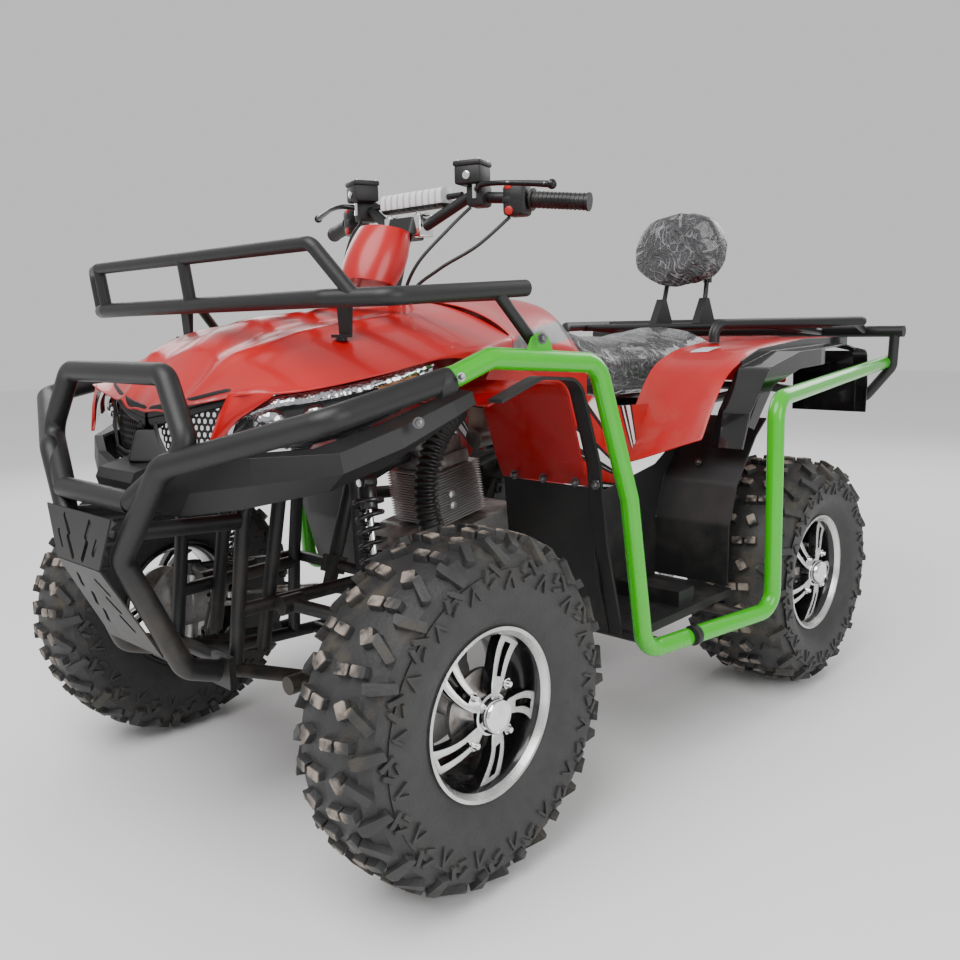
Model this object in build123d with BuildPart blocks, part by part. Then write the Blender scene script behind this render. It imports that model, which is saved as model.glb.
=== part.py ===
"""Utility quad bike with straddle seat, cargo racks, bull bar and side guard tubes.

The frame of the part: +Z up, the nose faces -Y, +X is the rider's left, the ground is Z = 0.
Lengths are millimetres.  Points are written from the axle that they belong to:
fore() counts from the front axle and aft() from the rear axle, both above the ground.
"""
from build123d import *
import os

# ---------------------------------------------------------------- driving dimensions
WHEELBASE = 1160.0
FRONT_AXLE_Y = -696.0            # puts the origin under the middle of the vehicle
FRONT_TRACK = 940.0
REAR_TRACK = 920.0
FRONT_TYRE_OD = 584.0            # 23 in tyre
FRONT_TYRE_WIDTH = 178.0
REAR_TYRE_OD = 559.0             # 22 in tyre
REAR_TYRE_WIDTH = 254.0
RIM_FLANGE_R = 141.0             # 10 in wheel
RIM_BARREL_R = 124.0
RIM_WALL = 5.0
FRONT_RIM_WIDTH = 140.0
REAR_RIM_WIDTH = 204.0
WHEEL_BOLT_PCD = 110.0
WHEEL_BOLT_R = 6.0

GUARD_TUBE = 36.0                # side guard tube
BUMPER_TUBE = 38.0
HOOP_TUBE = 36.0
RACK_TUBE = 28.0
RACK_HOOP_TUBE = 22.0
REAR_CROSS_TUBE = 32.0
FRAME_TUBE = 32.0
ARM_TUBE = 25.0
HANDLEBAR_TUBE = 22.2
GRIP_OD = 34.0
GRIP_LENGTH = 118.0

GUARD_HALF_WIDTH = 530.0         # centre of the side guard's lower run
FRONT_RACK_HALF_WIDTH = 455.0
FRONT_RACK_Z = 942.0
FRONT_RACK_HOOP_Z = 1022.0
REAR_RACK_Z = 884.0
REAR_RACK_HALF_WIDTH = 455.0
REAR_CROSS_HALF_WIDTH = 537.0
REAR_CROSS_Y = 590.0             # behind the rear axle
REAR_CROSS_Z = 853.0
FOOTBOARD_Z = 300.0
BOARD_THICK = 18.0
PANEL = 4.0                      # moulded body panels
PLATE = 3.0                      # pressed steel plate
SEAT_BASE_Z = 716.0
BACKREST_Z = 1096.0

COLUMN_TOP = (0.0, 340.0, 1080.0)     # from the front axle
COLUMN_FOOT = (0.0, 96.0, 372.0)
KINGPIN_X = 372.0
KINGPIN_HALF = 74.0
STEM_R = 14.0
BEARING_GAP = 0.08               # radial clearance of a running fit
FIT = 0.3                        # gap between pieces that touch
RUNNING = 6.0                    # gap beside moving pieces

FRONT_WHEEL_Z = FRONT_TYRE_OD / 2
REAR_WHEEL_Z = REAR_TYRE_OD / 2

os.makedirs("parts", exist_ok=True)


def fore(x, y, z):
    """A point counted from the front axle line on the ground."""
    return (x, FRONT_AXLE_Y + y, z)


def aft(x, y, z):
    """A point counted from the rear axle line on the ground."""
    return (x, FRONT_AXLE_Y + WHEELBASE + y, z)


def flip(points):
    """The same points on the other side of the vehicle."""
    return [(-x, y, z) for x, y, z in points]


def tube(points, diameter, bend=0.0):
    """A round bar along straight runs joined by arcs."""
    with BuildPart() as bar:
        with BuildLine() as path:
            if bend and len(points) > 2:
                FilletPolyline(*points, radius=bend)
            else:
                Polyline(*points)
        with BuildSketch(Plane(path.line @ 0, z_dir=path.line % 0)):
            Circle(diameter / 2)
        sweep(path=path.line, transition=Transition.ROUND)
    return bar.part


def rod(start, end, diameter):
    """A straight round bar between two points."""
    return tube([start, end], diameter)


def save(piece, name):
    """Label a finished piece and write its file."""
    piece.label = name
    export_step(piece, "parts/" + name + ".step")
    print(name, "volume", round(piece.volume / 1000.0, 1), "cm3")


def profile_yz(points, x0, x1):
    """A closed outline in the side view, extruded from x0 to x1."""
    with BuildPart() as slab:
        with BuildSketch(Plane.YZ.offset(x0)):
            with BuildLine():
                Polyline(*[(y, z) for _, y, z in points], close=True)
            make_face()
        extrude(amount=x1 - x0)
    return slab.part


def strip_yz(points, x0, x1, wall, bend):
    """A bent sheet: a side-view line thickened to one side and extruded across."""
    with BuildPart() as sheet:
        with BuildSketch(Plane.YZ.offset(x0)):
            with BuildLine() as edge:
                FilletPolyline(*[(y, z) for _, y, z in points], radius=bend)
            trace(lines=edge.line, line_width=wall)
        extrude(amount=x1 - x0)
    return sheet.part


def arch(y, half_width, edge_z, crown_z, skirt, wall=PANEL):
    """The cross-section of a crowned shell: two short walls and an arc over them."""
    with BuildSketch(Plane.XZ.offset(-y)) as section:
        with BuildLine():
            inner = half_width - wall
            Line((-half_width, edge_z - skirt), (-half_width, edge_z))
            ThreePointArc((-half_width, edge_z), (0, crown_z), (half_width, edge_z))
            Line((half_width, edge_z), (half_width, edge_z - skirt))
            Line((half_width, edge_z - skirt), (inner, edge_z - skirt))
            Line((inner, edge_z - skirt), (inner, edge_z - wall))
            ThreePointArc((inner, edge_z - wall), (0, crown_z - wall), (-inner, edge_z - wall))
            Line((-inner, edge_z - wall), (-inner, edge_z - skirt))
            Line((-inner, edge_z - skirt), (-half_width, edge_z - skirt))
        make_face()
    return section.sketch


def shell(stations):
    """A crowned shell through cross-sections (y, half width, edge, crown, skirt)."""
    with BuildPart() as body:
        for station in stations:
            add(arch(*station))
        loft(ruled=True)
    return body.part


# ---------------------------------------------------------------- frame
FRAME_HALF = 125.0
FRAME_R = FRAME_TUBE * 0.4
rail = [fore(FRAME_HALF - 25, -205, 322), fore(FRAME_HALF, -60, 268), fore(FRAME_HALF, 330, 246),
        aft(FRAME_HALF, -330, 246), aft(FRAME_HALF, -60, 420), aft(FRAME_HALF, 120, 640)]
spine = [fore(80, -115, 330), fore(88, -60, 640), fore(70, 120, 790), aft(110, -330, 668),
         aft(130, 120, 664), aft(150, 520, 690)]
front_post = [fore(100, -185, 325), fore(100, -150, 600), fore(86, -30, 665)]
frame_tubes = []
for side in (1, -1):
    for points in (rail, spine, front_post):
        frame_tubes.append(tube([(side * x, y, z) for x, y, z in points], 2 * FRAME_R, 40))
frame_crosses = [
    (fore(-100, -186, 322), fore(100, -186, 322)), (fore(-86, -62, 640), fore(86, -62, 640)),
    (fore(-125, 150, 257), fore(125, 150, 257)), (aft(-125, -330, 246), aft(125, -330, 246)),
    (aft(-110, -330, 668), aft(110, -330, 668)), (aft(-130, 120, 664), aft(130, 120, 664)),
    (aft(-150, 515, 690), aft(150, 515, 690)), (aft(-125, 112, 632), aft(125, 112, 632))]
for start, end in frame_crosses:
    frame_tubes.append(rod(start, end, 2 * FRAME_R))
# outriggers that carry the footboards and reach the lower run of the side guards
OUTRIGGER = 22.0
OUTRIGGER_Z = FOOTBOARD_Z - BOARD_THICK - FIT - OUTRIGGER / 2
GUARD_LOW_FRONT = (GUARD_HALF_WIDTH, 442, 270)
GUARD_LOW_REAR = (594, 850, 268)
guard_slope = (GUARD_LOW_REAR[0] - GUARD_LOW_FRONT[0]) / (GUARD_LOW_REAR[1] - GUARD_LOW_FRONT[1])
for side in (1, -1):
    for y in (500, 770):
        reach = GUARD_LOW_FRONT[0] + guard_slope * (y - OUTRIGGER / 2 - GUARD_LOW_FRONT[1])
        frame_tubes.append(tube([fore(side * FRAME_HALF, y, 246), fore(side * 290, y, OUTRIGGER_Z),
                                 fore(side * (reach - GUARD_TUBE / 2 - 2 * FIT), y, OUTRIGGER_Z)], OUTRIGGER, 20))
SHOCK_TOP = (188, 52, 622)
SHOCK_FOOT = (296, -4, 250)
EYE_R = 15.0
UPPER_PIVOT_Z = 416.0
REAR_DAMPER_Y = -132.0
REAR_DAMPER_TOP_Z = 632.0
# bay posts that carry the upper arms, and the cross tube with the column bearing
BEARING_ALONG = 56.0
column_axis = (Vector(*COLUMN_TOP) - Vector(*COLUMN_FOOT)).normalized()
bearing = Vector(*COLUMN_FOOT) + column_axis * BEARING_ALONG
for side in (1, -1):
    frame_tubes.append(tube([fore(side * 125, 96, 262), fore(side * 112, 97, 424), fore(side * 74, 112, 778)],
                            2 * FRAME_R, 40))
    frame_tubes.append(rod(fore(side * 112, bearing.Y, bearing.Z), fore(side * 20, bearing.Y, bearing.Z), 22))
    # shock hanger, and the bar along the bay that the upper arm pivots on
    hanger = fore(side * 88, 52, 740)
    eye = Vector(*fore(side * SHOCK_TOP[0], *SHOCK_TOP[1:]))
    reach = (Vector(*hanger) - eye).normalized() * (EYE_R + FIT)
    frame_tubes.append(rod(hanger, eye + reach, 24))
    frame_tubes.append(rod(fore(side * 100, -173, UPPER_PIVOT_Z), fore(side * 112.6, 97, UPPER_PIVOT_Z), 2 * FRAME_R))
# hanger of the rear damper
frame_tubes.append(rod(aft(-119, REAR_DAMPER_Y, REAR_DAMPER_TOP_Z + EYE_R + FRAME_R + FIT),
                       aft(119, REAR_DAMPER_Y, REAR_DAMPER_TOP_Z + EYE_R + FRAME_R + FIT), 2 * FRAME_R))
# cradle under the engine, and posts that carry the seat pan
frame_tubes.append(rod(fore(-FRAME_HALF, 470, 252.5), fore(FRAME_HALF, 470, 252.5), 2 * FRAME_R))
for side in (1, -1):
    frame_tubes.append(rod(aft(side * 121, -60, 666), aft(side * 121, -60, SEAT_BASE_Z - FIT), 22))
# feet that the bull bar bolts on to
FOOT_PLATE = (56.0, 6.0, 56.0)
FOOT_Y = -210.0
with BuildPart() as main_frame:
    add(frame_tubes)
    for side in (1, -1):
        with Locations(fore(side * 106, FOOT_Y, 322)):
            Box(*FOOT_PLATE)
    with BuildSketch(Plane(fore(bearing.X, bearing.Y, bearing.Z), x_dir=(1, 0, 0), z_dir=column_axis)):
        Circle(25)
    extrude(amount=17, both=True)
    with BuildSketch(Plane(fore(*COLUMN_FOOT), x_dir=(1, 0, 0), z_dir=column_axis)):
        Circle(STEM_R + BEARING_GAP)
    extrude(amount=200, mode=Mode.SUBTRACT)
save(main_frame.part, "main_frame")

# ---------------------------------------------------------------- bull bar
GUARD_JOINT = fore(465, -15, 817)
side_run = [GUARD_JOINT, fore(465, -235, 775), fore(195, -345, 700), fore(82, -366, 545),
            fore(105, -283, 345), fore(106, FOOT_Y - 15, 324)]
hoop_run = [fore(117, -360, 640), fore(236, -322, 728), fore(166, -312, 835),
            fore(-166, -312, 835), fore(-236, -322, 728), fore(-117, -360, 640)]
bumper_tubes = [tube(side_run, BUMPER_TUBE, 34), tube(flip(side_run), BUMPER_TUBE, 34),
                tube(hoop_run, HOOP_TUBE, 30),
                rod(fore(-122, -360, 640), fore(122, -360, 640), HOOP_TUBE),
                rod(fore(-106, -168, 576), fore(-116, -350, 592), 28),
                rod(fore(106, -168, 576), fore(116, -350, 592), 28)]
with BuildPart() as front_bumper:
    add(bumper_tubes)
    for side in (1, -1):
        with Locations(fore(side * 106, FOOT_Y - FOOT_PLATE[1] - FIT, 322)):
            Box(*FOOT_PLATE)
save(front_bumper.part, "front_bumper")


def bumper_plate_half(top, bottom, half_top, half_bottom, slots):
    """One flat half of the folded skid plate, with its slots cut."""
    top_point, bottom_point = Vector(*top), Vector(*bottom)
    height = (top_point - bottom_point).length
    face = Plane(bottom_point, x_dir=(1, 0, 0),
                 z_dir=(top_point - bottom_point).cross(Vector(-1, 0, 0)).normalized())
    with BuildPart() as half:
        with BuildSketch(face):
            with BuildLine():
                Polyline((-half_bottom, 0), (half_bottom, 0), (half_top, height),
                         (-half_top, height), close=True)
            make_face()
            for x, y, length, turn in slots:
                with Locations(Location((x, y, 0), turn)):
                    SlotOverall(length, 10, mode=Mode.SUBTRACT)
                with Locations(Location((-x, y, 0), -turn)):
                    SlotOverall(length, 10, mode=Mode.SUBTRACT)
        extrude(amount=PLATE)
    return half.part


plate_top = fore(0, -390, 618)
plate_fold = fore(0, -397, 532)
plate_foot = fore(0, -313, 372)
upper_slots = [(38, 60, 40, 60), (26, 24, 44, 60), (62, 34, 34, 60)]
lower_slots = [(40, 140, 40, -60), (34, 100, 40, -60), (38, 60, 40, -60)]
plates = [bumper_plate_half(plate_top, plate_fold, 116, 76, upper_slots),
          bumper_plate_half(plate_fold, plate_foot, 76, 92, lower_slots)]
with BuildPart() as bumper_plate:
    add(plates)
save(bumper_plate.part, "bumper_plate")

# ---------------------------------------------------------------- side guards
joint = Vector(*GUARD_JOINT)
joint_way = (joint - Vector(*side_run[1])).normalized()
GUARD_END = Vector(*aft(487, 585, 764))
guard_shoulder = Vector(*fore(589, 850, 728))
end_way = (GUARD_END - guard_shoulder).normalized()
guard_run = [joint + joint_way * FIT, joint + joint_way * 25, fore(474, 78, 846), fore(492, 340, 827),
             fore(514, 412, 570), fore(*GUARD_LOW_FRONT), fore(*GUARD_LOW_REAR), guard_shoulder, GUARD_END]
TAB_X = 480.0
guard_tab = profile_yz([fore(0, 150, 838), fore(0, 232, 836), fore(0, 212, 878), fore(0, 188, 884),
                        fore(0, 172, 876)], TAB_X, TAB_X + 5)
guard_left = tube(guard_run, GUARD_TUBE, 46)
guard_right = mirror(guard_left, about=Plane.YZ)
with BuildPart() as side_guard_left:
    add([guard_left, guard_tab])
save(side_guard_left.part, "side_guard_left")
with BuildPart() as side_guard_right:
    add([guard_right, mirror(guard_tab, about=Plane.YZ)])
save(side_guard_right.part, "side_guard_right")

# ---------------------------------------------------------------- front rack
rack_half = FRONT_RACK_HALF_WIDTH
rack_rim = [fore(rack_half, 190, 957), fore(rack_half, -110, FRONT_RACK_Z), fore(350, -150, FRONT_RACK_Z),
            fore(-350, -150, FRONT_RACK_Z), fore(-rack_half, -110, FRONT_RACK_Z),
            fore(-rack_half, 190, 957)]
rack_hoop = [fore(402, -132, FRONT_RACK_Z), fore(340, -160, FRONT_RACK_HOOP_Z),
             fore(-345, -160, FRONT_RACK_HOOP_Z), fore(-448, -122, FRONT_RACK_HOOP_Z),
             fore(-450, -112, FRONT_RACK_Z)]
rack_parts = [tube(rack_rim, RACK_TUBE, 26), tube(rack_hoop, RACK_HOOP_TUBE, 20),
              rod(fore(-345, -160, FRONT_RACK_HOOP_Z), fore(-345, -150, FRONT_RACK_Z), RACK_HOOP_TUBE),
              rod(fore(-25, -160, FRONT_RACK_HOOP_Z), fore(-25, -150, FRONT_RACK_Z), RACK_HOOP_TUBE)]
for y in (-30, 70, 140):
    rack_parts.append(rod(fore(-rack_half, y, FRONT_RACK_Z + 6), fore(rack_half, y, FRONT_RACK_Z + 6),
                          RACK_HOOP_TUBE))
for x in (-140, 0, 140):
    rack_parts.append(rod(fore(x, -150, FRONT_RACK_Z), fore(x, 140, FRONT_RACK_Z + 6), 16))
for side in (1, -1):
    rack_parts.append(rod(fore(side * rack_half, 118, 950),
                          fore(side * (TAB_X - 10 - FIT), 192, 866), 20))
with BuildPart() as front_rack:
    add(rack_parts)
save(front_rack.part, "front_rack")

RACK_POST_X = 251.0
RACK_POST_FOOT_Z = 882.5
post_top = FRONT_RACK_Z + 6 - RACK_HOOP_TUBE / 2 - FIT
post_parts = []
for side in (1, -1):
    strap = profile_yz([fore(0, -36, post_top), fore(0, -24, post_top), fore(0, -28, RACK_POST_FOOT_Z),
                        fore(0, -50, RACK_POST_FOOT_Z), fore(0, -50, RACK_POST_FOOT_Z + 5),
                        fore(0, -33, RACK_POST_FOOT_Z + 5)],
                       side * RACK_POST_X - 14, side * RACK_POST_X + 14)
    post_parts.append(strap)
with BuildPart() as rack_posts:
    add(post_parts)
    with Locations([fore(side * RACK_POST_X, -39, RACK_POST_FOOT_Z - 2) for side in (1, -1)]):
        Cylinder(9, 6)
save(rack_posts.part, "rack_posts")

# ---------------------------------------------------------------- rear rack
rear_half = REAR_RACK_HALF_WIDTH
RACK_LEG_Z = 838.0
rear_hoop = [aft(248, 34, RACK_LEG_Z), aft(248, 36, REAR_RACK_Z), aft(rear_half, REAR_CROSS_Y - 40, REAR_RACK_Z),
             aft(-rear_half, REAR_CROSS_Y - 40, REAR_RACK_Z), aft(-248, 36, REAR_RACK_Z),
             aft(-248, 34, RACK_LEG_Z)]
rear_parts = [tube(rear_hoop, RACK_TUBE, 30),
              rod(aft(-REAR_CROSS_HALF_WIDTH, REAR_CROSS_Y, REAR_CROSS_Z),
                  aft(REAR_CROSS_HALF_WIDTH, REAR_CROSS_Y, REAR_CROSS_Z), REAR_CROSS_TUBE)]
hoop_spread = (rear_half - 248) / (REAR_CROSS_Y - 40 - 36)
for y in (244, 330, 415, 490):
    half = 248 + hoop_spread * (y - 36)
    rear_parts.append(rod(aft(-half, y, REAR_RACK_Z - 6), aft(half, y, REAR_RACK_Z - 6), 20))
for side in (1, -1):
    rear_parts.append(rod(aft(side * 300, 244, REAR_RACK_Z - 6), aft(side * 300, REAR_CROSS_Y, REAR_CROSS_Z), 20))
    rear_parts.append(rod(aft(side * 430, 500, REAR_RACK_Z), aft(side * 430, REAR_CROSS_Y, REAR_CROSS_Z), 20))
    # drop bracket that carries the end of the side guard, curving in to the frame
    rear_parts.append(tube([aft(side * 512, REAR_CROSS_Y, REAR_CROSS_Z), aft(side * 504, 604, 752),
                            aft(side * 440, 572, 660), aft(side * 228, 572, 676), aft(side * 160.7, 528.2, 690)],
                           28, 30))
    stub = [GUARD_END + end_way * FIT, GUARD_END + end_way * 44]
    rear_parts.append(tube([(side * point.X, point.Y, point.Z) for point in stub], GUARD_TUBE - 2))
with BuildPart() as rear_rack:
    add(rear_parts)
save(rear_rack.part, "rear_rack")

# ---------------------------------------------------------------- backrest
BACKREST_Y = 296.0
BACKREST_POST_X = 72.0
REST_BACK_Y = BACKREST_Y + 14         # rear face of the pad at its middle
REST_LEAN = 0.12
REST_FOOT_Z = REAR_RACK_Z - 6 + 10 + FIT      # on top of the rack's cross tubes
post_runs = [tube([aft(side * BACKREST_POST_X, BACKREST_Y - 12, REST_FOOT_Z),
                   aft(side * (BACKREST_POST_X - 6), BACKREST_Y + 18, 1016)], 14) for side in (1, -1)]
foot_plates = [profile_yz([aft(0, BACKREST_Y - 56, REST_FOOT_Z), aft(0, BACKREST_Y + 38, REST_FOOT_Z),
                           aft(0, BACKREST_Y + 2, 960), aft(0, BACKREST_Y - 14, 960)],
                          side * BACKREST_POST_X - 12, side * BACKREST_POST_X + 12) for side in (1, -1)]
with BuildPart() as backrest_posts:
    add(post_runs + foot_plates)
    with BuildSketch(Plane(aft(0, REST_BACK_Y + FIT, BACKREST_Z), x_dir=(1, 0, 0), z_dir=(0, -1, REST_LEAN))):
        RectangleRounded(190, 150, 50)
    extrude(amount=-6)
    with Locations([aft(side * (BACKREST_POST_X - 6), BACKREST_Y + 22, 1024) for side in (1, -1)]):
        Box(20, 14, 40)
save(backrest_posts.part, "backrest_posts")

with BuildPart() as backrest_pad:
    with BuildSketch(Plane(aft(0, REST_BACK_Y, BACKREST_Z), x_dir=(1, 0, 0), z_dir=(0, -1, REST_LEAN))):
        with BuildLine():
            Spline((-138, -68), (-68, -106), (68, -106), (138, -68), (155, 10), (104, 92), (0, 113),
                   (-104, 92), (-155, 10), periodic=True)
        make_face()
    extrude(amount=72)
    fillet(backrest_pad.edges().group_by(Axis.Y)[0], 26)
save(backrest_pad.part, "backrest_pad")

# ---------------------------------------------------------------- hood and front shell
# from the front axle: y, half width, height of the edge, height of the crown, depth of the skirt
HOOD_STATIONS = [(-236, 205, 768, 800, 34), (-170, 300, 790, 862, 10), (-60, 366, 824, 904, 8),
                 (60, 392, 850, 920, 10), (160, 390, 862, 934, 30), (300, 330, 872, 950, 36)]
hood_shell = shell([(fore(0, y, 0)[1], *rest) for y, *rest in HOOD_STATIONS])


def hood_rim(y):
    """Half width of the hood and height of its skirt's lower edge at a distance from the axle."""
    for (y0, half0, edge0, _, skirt0), (y1, half1, edge1, _, skirt1) in zip(HOOD_STATIONS, HOOD_STATIONS[1:]):
        if y0 <= y <= y1:
            share = (y - y0) / (y1 - y0)
            half = half0 + (half1 - half0) * share
            low0, low1 = edge0 - skirt0, edge1 - skirt1
            return half, low0 + (low1 - low0) * share


# the column, with its cables, passes a round hole where hood and tank cover meet
COLUMN_HOLE = 68.0
column_tool = rod(fore(*COLUMN_FOOT), fore(*COLUMN_TOP), COLUMN_HOLE)
CABLE_HOLE = 48.0
CABLE_HOLE_AT = (78, 264, 940)
with BuildPart() as hood:
    add(hood_shell)
    add(column_tool, mode=Mode.SUBTRACT)
    with Locations([fore(side * CABLE_HOLE_AT[0], *CABLE_HOLE_AT[1:]) for side in (1, -1)]):
        Cylinder(CABLE_HOLE / 2, 60, mode=Mode.SUBTRACT)
save(hood.part, "hood")

# ---------------------------------------------------------------- grille, lamps and lower fascia
with BuildPart() as grille:
    # V-shaped surround with a centre keel, open behind its mesh
    with BuildSketch(Plane(fore(0, -262, 690), x_dir=(1, 0, 0), z_dir=(0, -1, -0.12))):
        with BuildLine():
            Polyline((-60, 0), (60, 0), (176, 96), (60, 84), (0, 62), (-60, 84), (-176, 96), close=True)
        make_face()
        with BuildLine():
            Polyline((-46, 12), (-16, 12), (-26, 62), (-118, 78), close=True)
        make_face(mode=Mode.SUBTRACT)
        with BuildLine():
            Polyline((46, 12), (16, 12), (26, 62), (118, 78), close=True)
        make_face(mode=Mode.SUBTRACT)
    extrude(amount=-18)
    with BuildSketch(Plane(fore(0, -250, 690), x_dir=(1, 0, 0), z_dir=(0, -1, -0.12))):
        with BuildLine():
            Polyline((-52, 6), (52, 6), (140, 86), (0, 66), (-140, 86), close=True)
        make_face()
    extrude(amount=-3)
save(grille.part, "grille")


LAMP_STATIONS = [(-212, 206, 726), (-150, 262, 716), (-60, 318, 738), (40, 358, 802)]


def lamp(side):
    """A wrap-around headlamp: a closed wedge that hangs under the skirt of the hood."""
    with BuildPart() as body:
        for y, x_in, z_low in LAMP_STATIONS:
            x_out, rim = hood_rim(y)
            x_out, z_out = x_out - 1, rim - FIT
            with BuildSketch(Plane.XZ.offset(-fore(0, y, 0)[1])):
                with BuildLine():
                    Polyline((side * (x_in - 40), z_out), (side * x_in, z_out + 3), (side * (x_out - 8), z_out),
                             (side * x_out, z_out), (side * x_out, z_low), (side * (x_in - 40), z_low), close=True)
                make_face()
        loft(ruled=True)
    return body.part


lamps = [lamp(1), lamp(-1)]
with BuildPart() as headlamps:
    add(lamps)
save(headlamps.part, "headlamps")


def fascia_half(side):
    """Black lower shell and flare under the lamp, from the nose to the joint of the guard."""
    wall = 5
    stations = [(-300, 60, 612, 676), (-282, 150, 604, 690), (-236, 262, 622, 706), (-150, 372, 650, 712),
                (-60, 411, 683, 745), (40, 428, 731, 779), (80, 432, 752, 792)]
    with BuildPart() as skin:
        for y, x, z_low, z_high in stations:
            lip = x - 34 if y < -200 else hood_rim(y)[0] - 1 + FIT
            with BuildSketch(Plane.XZ.offset(-fore(0, y, 0)[1])):
                with BuildLine():
                    Polyline((side * lip, z_high + 3), (side * x, z_high), (side * (x + 8), (z_low + z_high) / 2),
                             (side * (x - 30), z_low), (side * (x - 30 - wall), z_low + 3),
                             (side * (x + 8 - wall), (z_low + z_high) / 2),
                             (side * (x - wall), z_high - wall), (side * lip, z_high + 3 - wall), close=True)
                make_face()
        loft(ruled=True)
    return skin.part


nose_lip = profile_yz([fore(0, -330, 660), fore(0, -322, 676), fore(0, -266, 689.5), fore(0, -250, 689.5),
                       fore(0, -250, 683), fore(0, -318, 652), fore(0, -306, 606), fore(0, -314, 606)], -62, 62)
fascias = [fascia_half(1), fascia_half(-1), nose_lip]
with BuildPart() as front_fascia:
    add(fascias)
save(front_fascia.part, "front_fascia")

# ---------------------------------------------------------------- front inner fenders and flaps
fender_line = [fore(0, 96, 768), fore(0, 200, 800), fore(0, 300, 792), fore(0, 352, 640), fore(0, 372, 596)]
flap_line = [fore(0, 376, 592), fore(0, 392, 430), fore(0, 436, 290)]
inner_fenders, flaps, trims = [], [], []
for x0, x1 in ((236, 452), (-452, -236)):
    inner_fenders.append(strip_yz(fender_line, x0, x1, PANEL, 40))
    flaps.append(strip_yz(flap_line, x0, x1, PANEL, 60))
for x0, x1 in ((452 + FIT, 482), (-482, -452 - FIT)):
    trims.append(strip_yz([fore(0, 96, 776), fore(0, 200, 808), fore(0, 306, 800), fore(0, 364, 640),
                           fore(0, 388, 480), fore(0, 440, 290)], x0, x1, 6, 50))
with BuildPart() as front_inner_fenders:
    add(inner_fenders)
save(front_inner_fenders.part, "front_inner_fenders")
with BuildPart() as front_mud_flaps:
    add(flaps)
save(front_mud_flaps.part, "front_mud_flaps")
with BuildPart() as fender_trims:
    add(trims)
save(fender_trims.part, "fender_trims")

# ---------------------------------------------------------------- tank cover and side covers
tank_shell = shell([
    (fore(0, 300 + FIT, 0)[1], 300, 872, 950, 40), (fore(0, 420, 0)[1], 236, 870, 956, 60),
    (fore(0, 560, 0)[1], 190, 856, 956, 90), (fore(0, 690, 0)[1], 168, 838, 944, 96),
    (fore(0, 760, 0)[1], 160, 812, 900, 80)])
with BuildPart() as tank_cover:
    add(tank_shell)
    add(column_tool, mode=Mode.SUBTRACT)
save(tank_cover.part, "tank_cover")

cover_outline = [fore(0, 304.4, 786), fore(0, 330, 822), fore(0, 395, 813.9), fore(0, 560, 764), fore(0, 760, 706),
                 fore(0, 895.6, 702), fore(0, 791.6, 562), fore(0, 740, 500), fore(0, 640, 486), fore(0, 500, 560),
                 fore(0, 375.4, 597), fore(0, 355.6, 640.6)]
covers = [profile_yz(cover_outline, 246, 246 + PANEL), profile_yz(cover_outline, -246 - PANEL, -246)]
with BuildPart() as side_covers:
    add(covers)
save(side_covers.part, "side_covers")

# ---------------------------------------------------------------- seat
seat_stations = [(fore(0, 760 + FIT, 0)[1], 132, 776, 898), (fore(0, 820, 0)[1], 142, 740, 876),
                 (fore(0, 900, 0)[1], 152, SEAT_BASE_Z, 854), (aft(0, -60, 0)[1], 196, SEAT_BASE_Z, 850),
                 (aft(0, 90, 0)[1], 206, SEAT_BASE_Z + 10, 868), (aft(0, 190, 0)[1], 190, SEAT_BASE_Z + 34, 876),
                 (aft(0, 218, 0)[1], 172, SEAT_BASE_Z + 54, 850)]
SEAT_SHOULDER = 0.62             # share of the height where the sides turn into the top
with BuildPart() as seat:
    for y, half, base, top in seat_stations:
        shoulder = base + (top - base) * SEAT_SHOULDER
        with BuildSketch(Plane.XZ.offset(-y)):
            with BuildLine():
                Line((-half, base), (half, base))
                Line((half, base), (half, shoulder))
                ThreePointArc((half, shoulder), (0, top), (-half, shoulder))
                Line((-half, shoulder), (-half, base))
            make_face()
    loft(ruled=True)
save(seat.part, "seat")

# ---------------------------------------------------------------- rear fender
WING_EDGE = 420.0
wing_line = [aft(0, -366, 560), aft(0, -262, 700), aft(0, -190, 790), aft(0, -60, 826), aft(0, 200, 844),
             aft(0, 470, 842)]
deck_line = [aft(0, 226, 780), aft(0, 252, 840), aft(0, 520, 846), aft(0, 548, 700)]
wings = [strip_yz(wing_line, 214, WING_EDGE, PANEL, 30), strip_yz(wing_line, -WING_EDGE, -214, PANEL, 30),
         strip_yz(deck_line, -213, 213, PANEL, 20)]
bridges = [profile_yz([aft(0, 258, 834), aft(0, 470, 836), aft(0, 470, 848), aft(0, 258, 846)], side - 6, side + 6)
           for side in (213, -213)]
with BuildPart() as rear_fender:
    add(wings + bridges)
save(rear_fender.part, "rear_fender")

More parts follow.
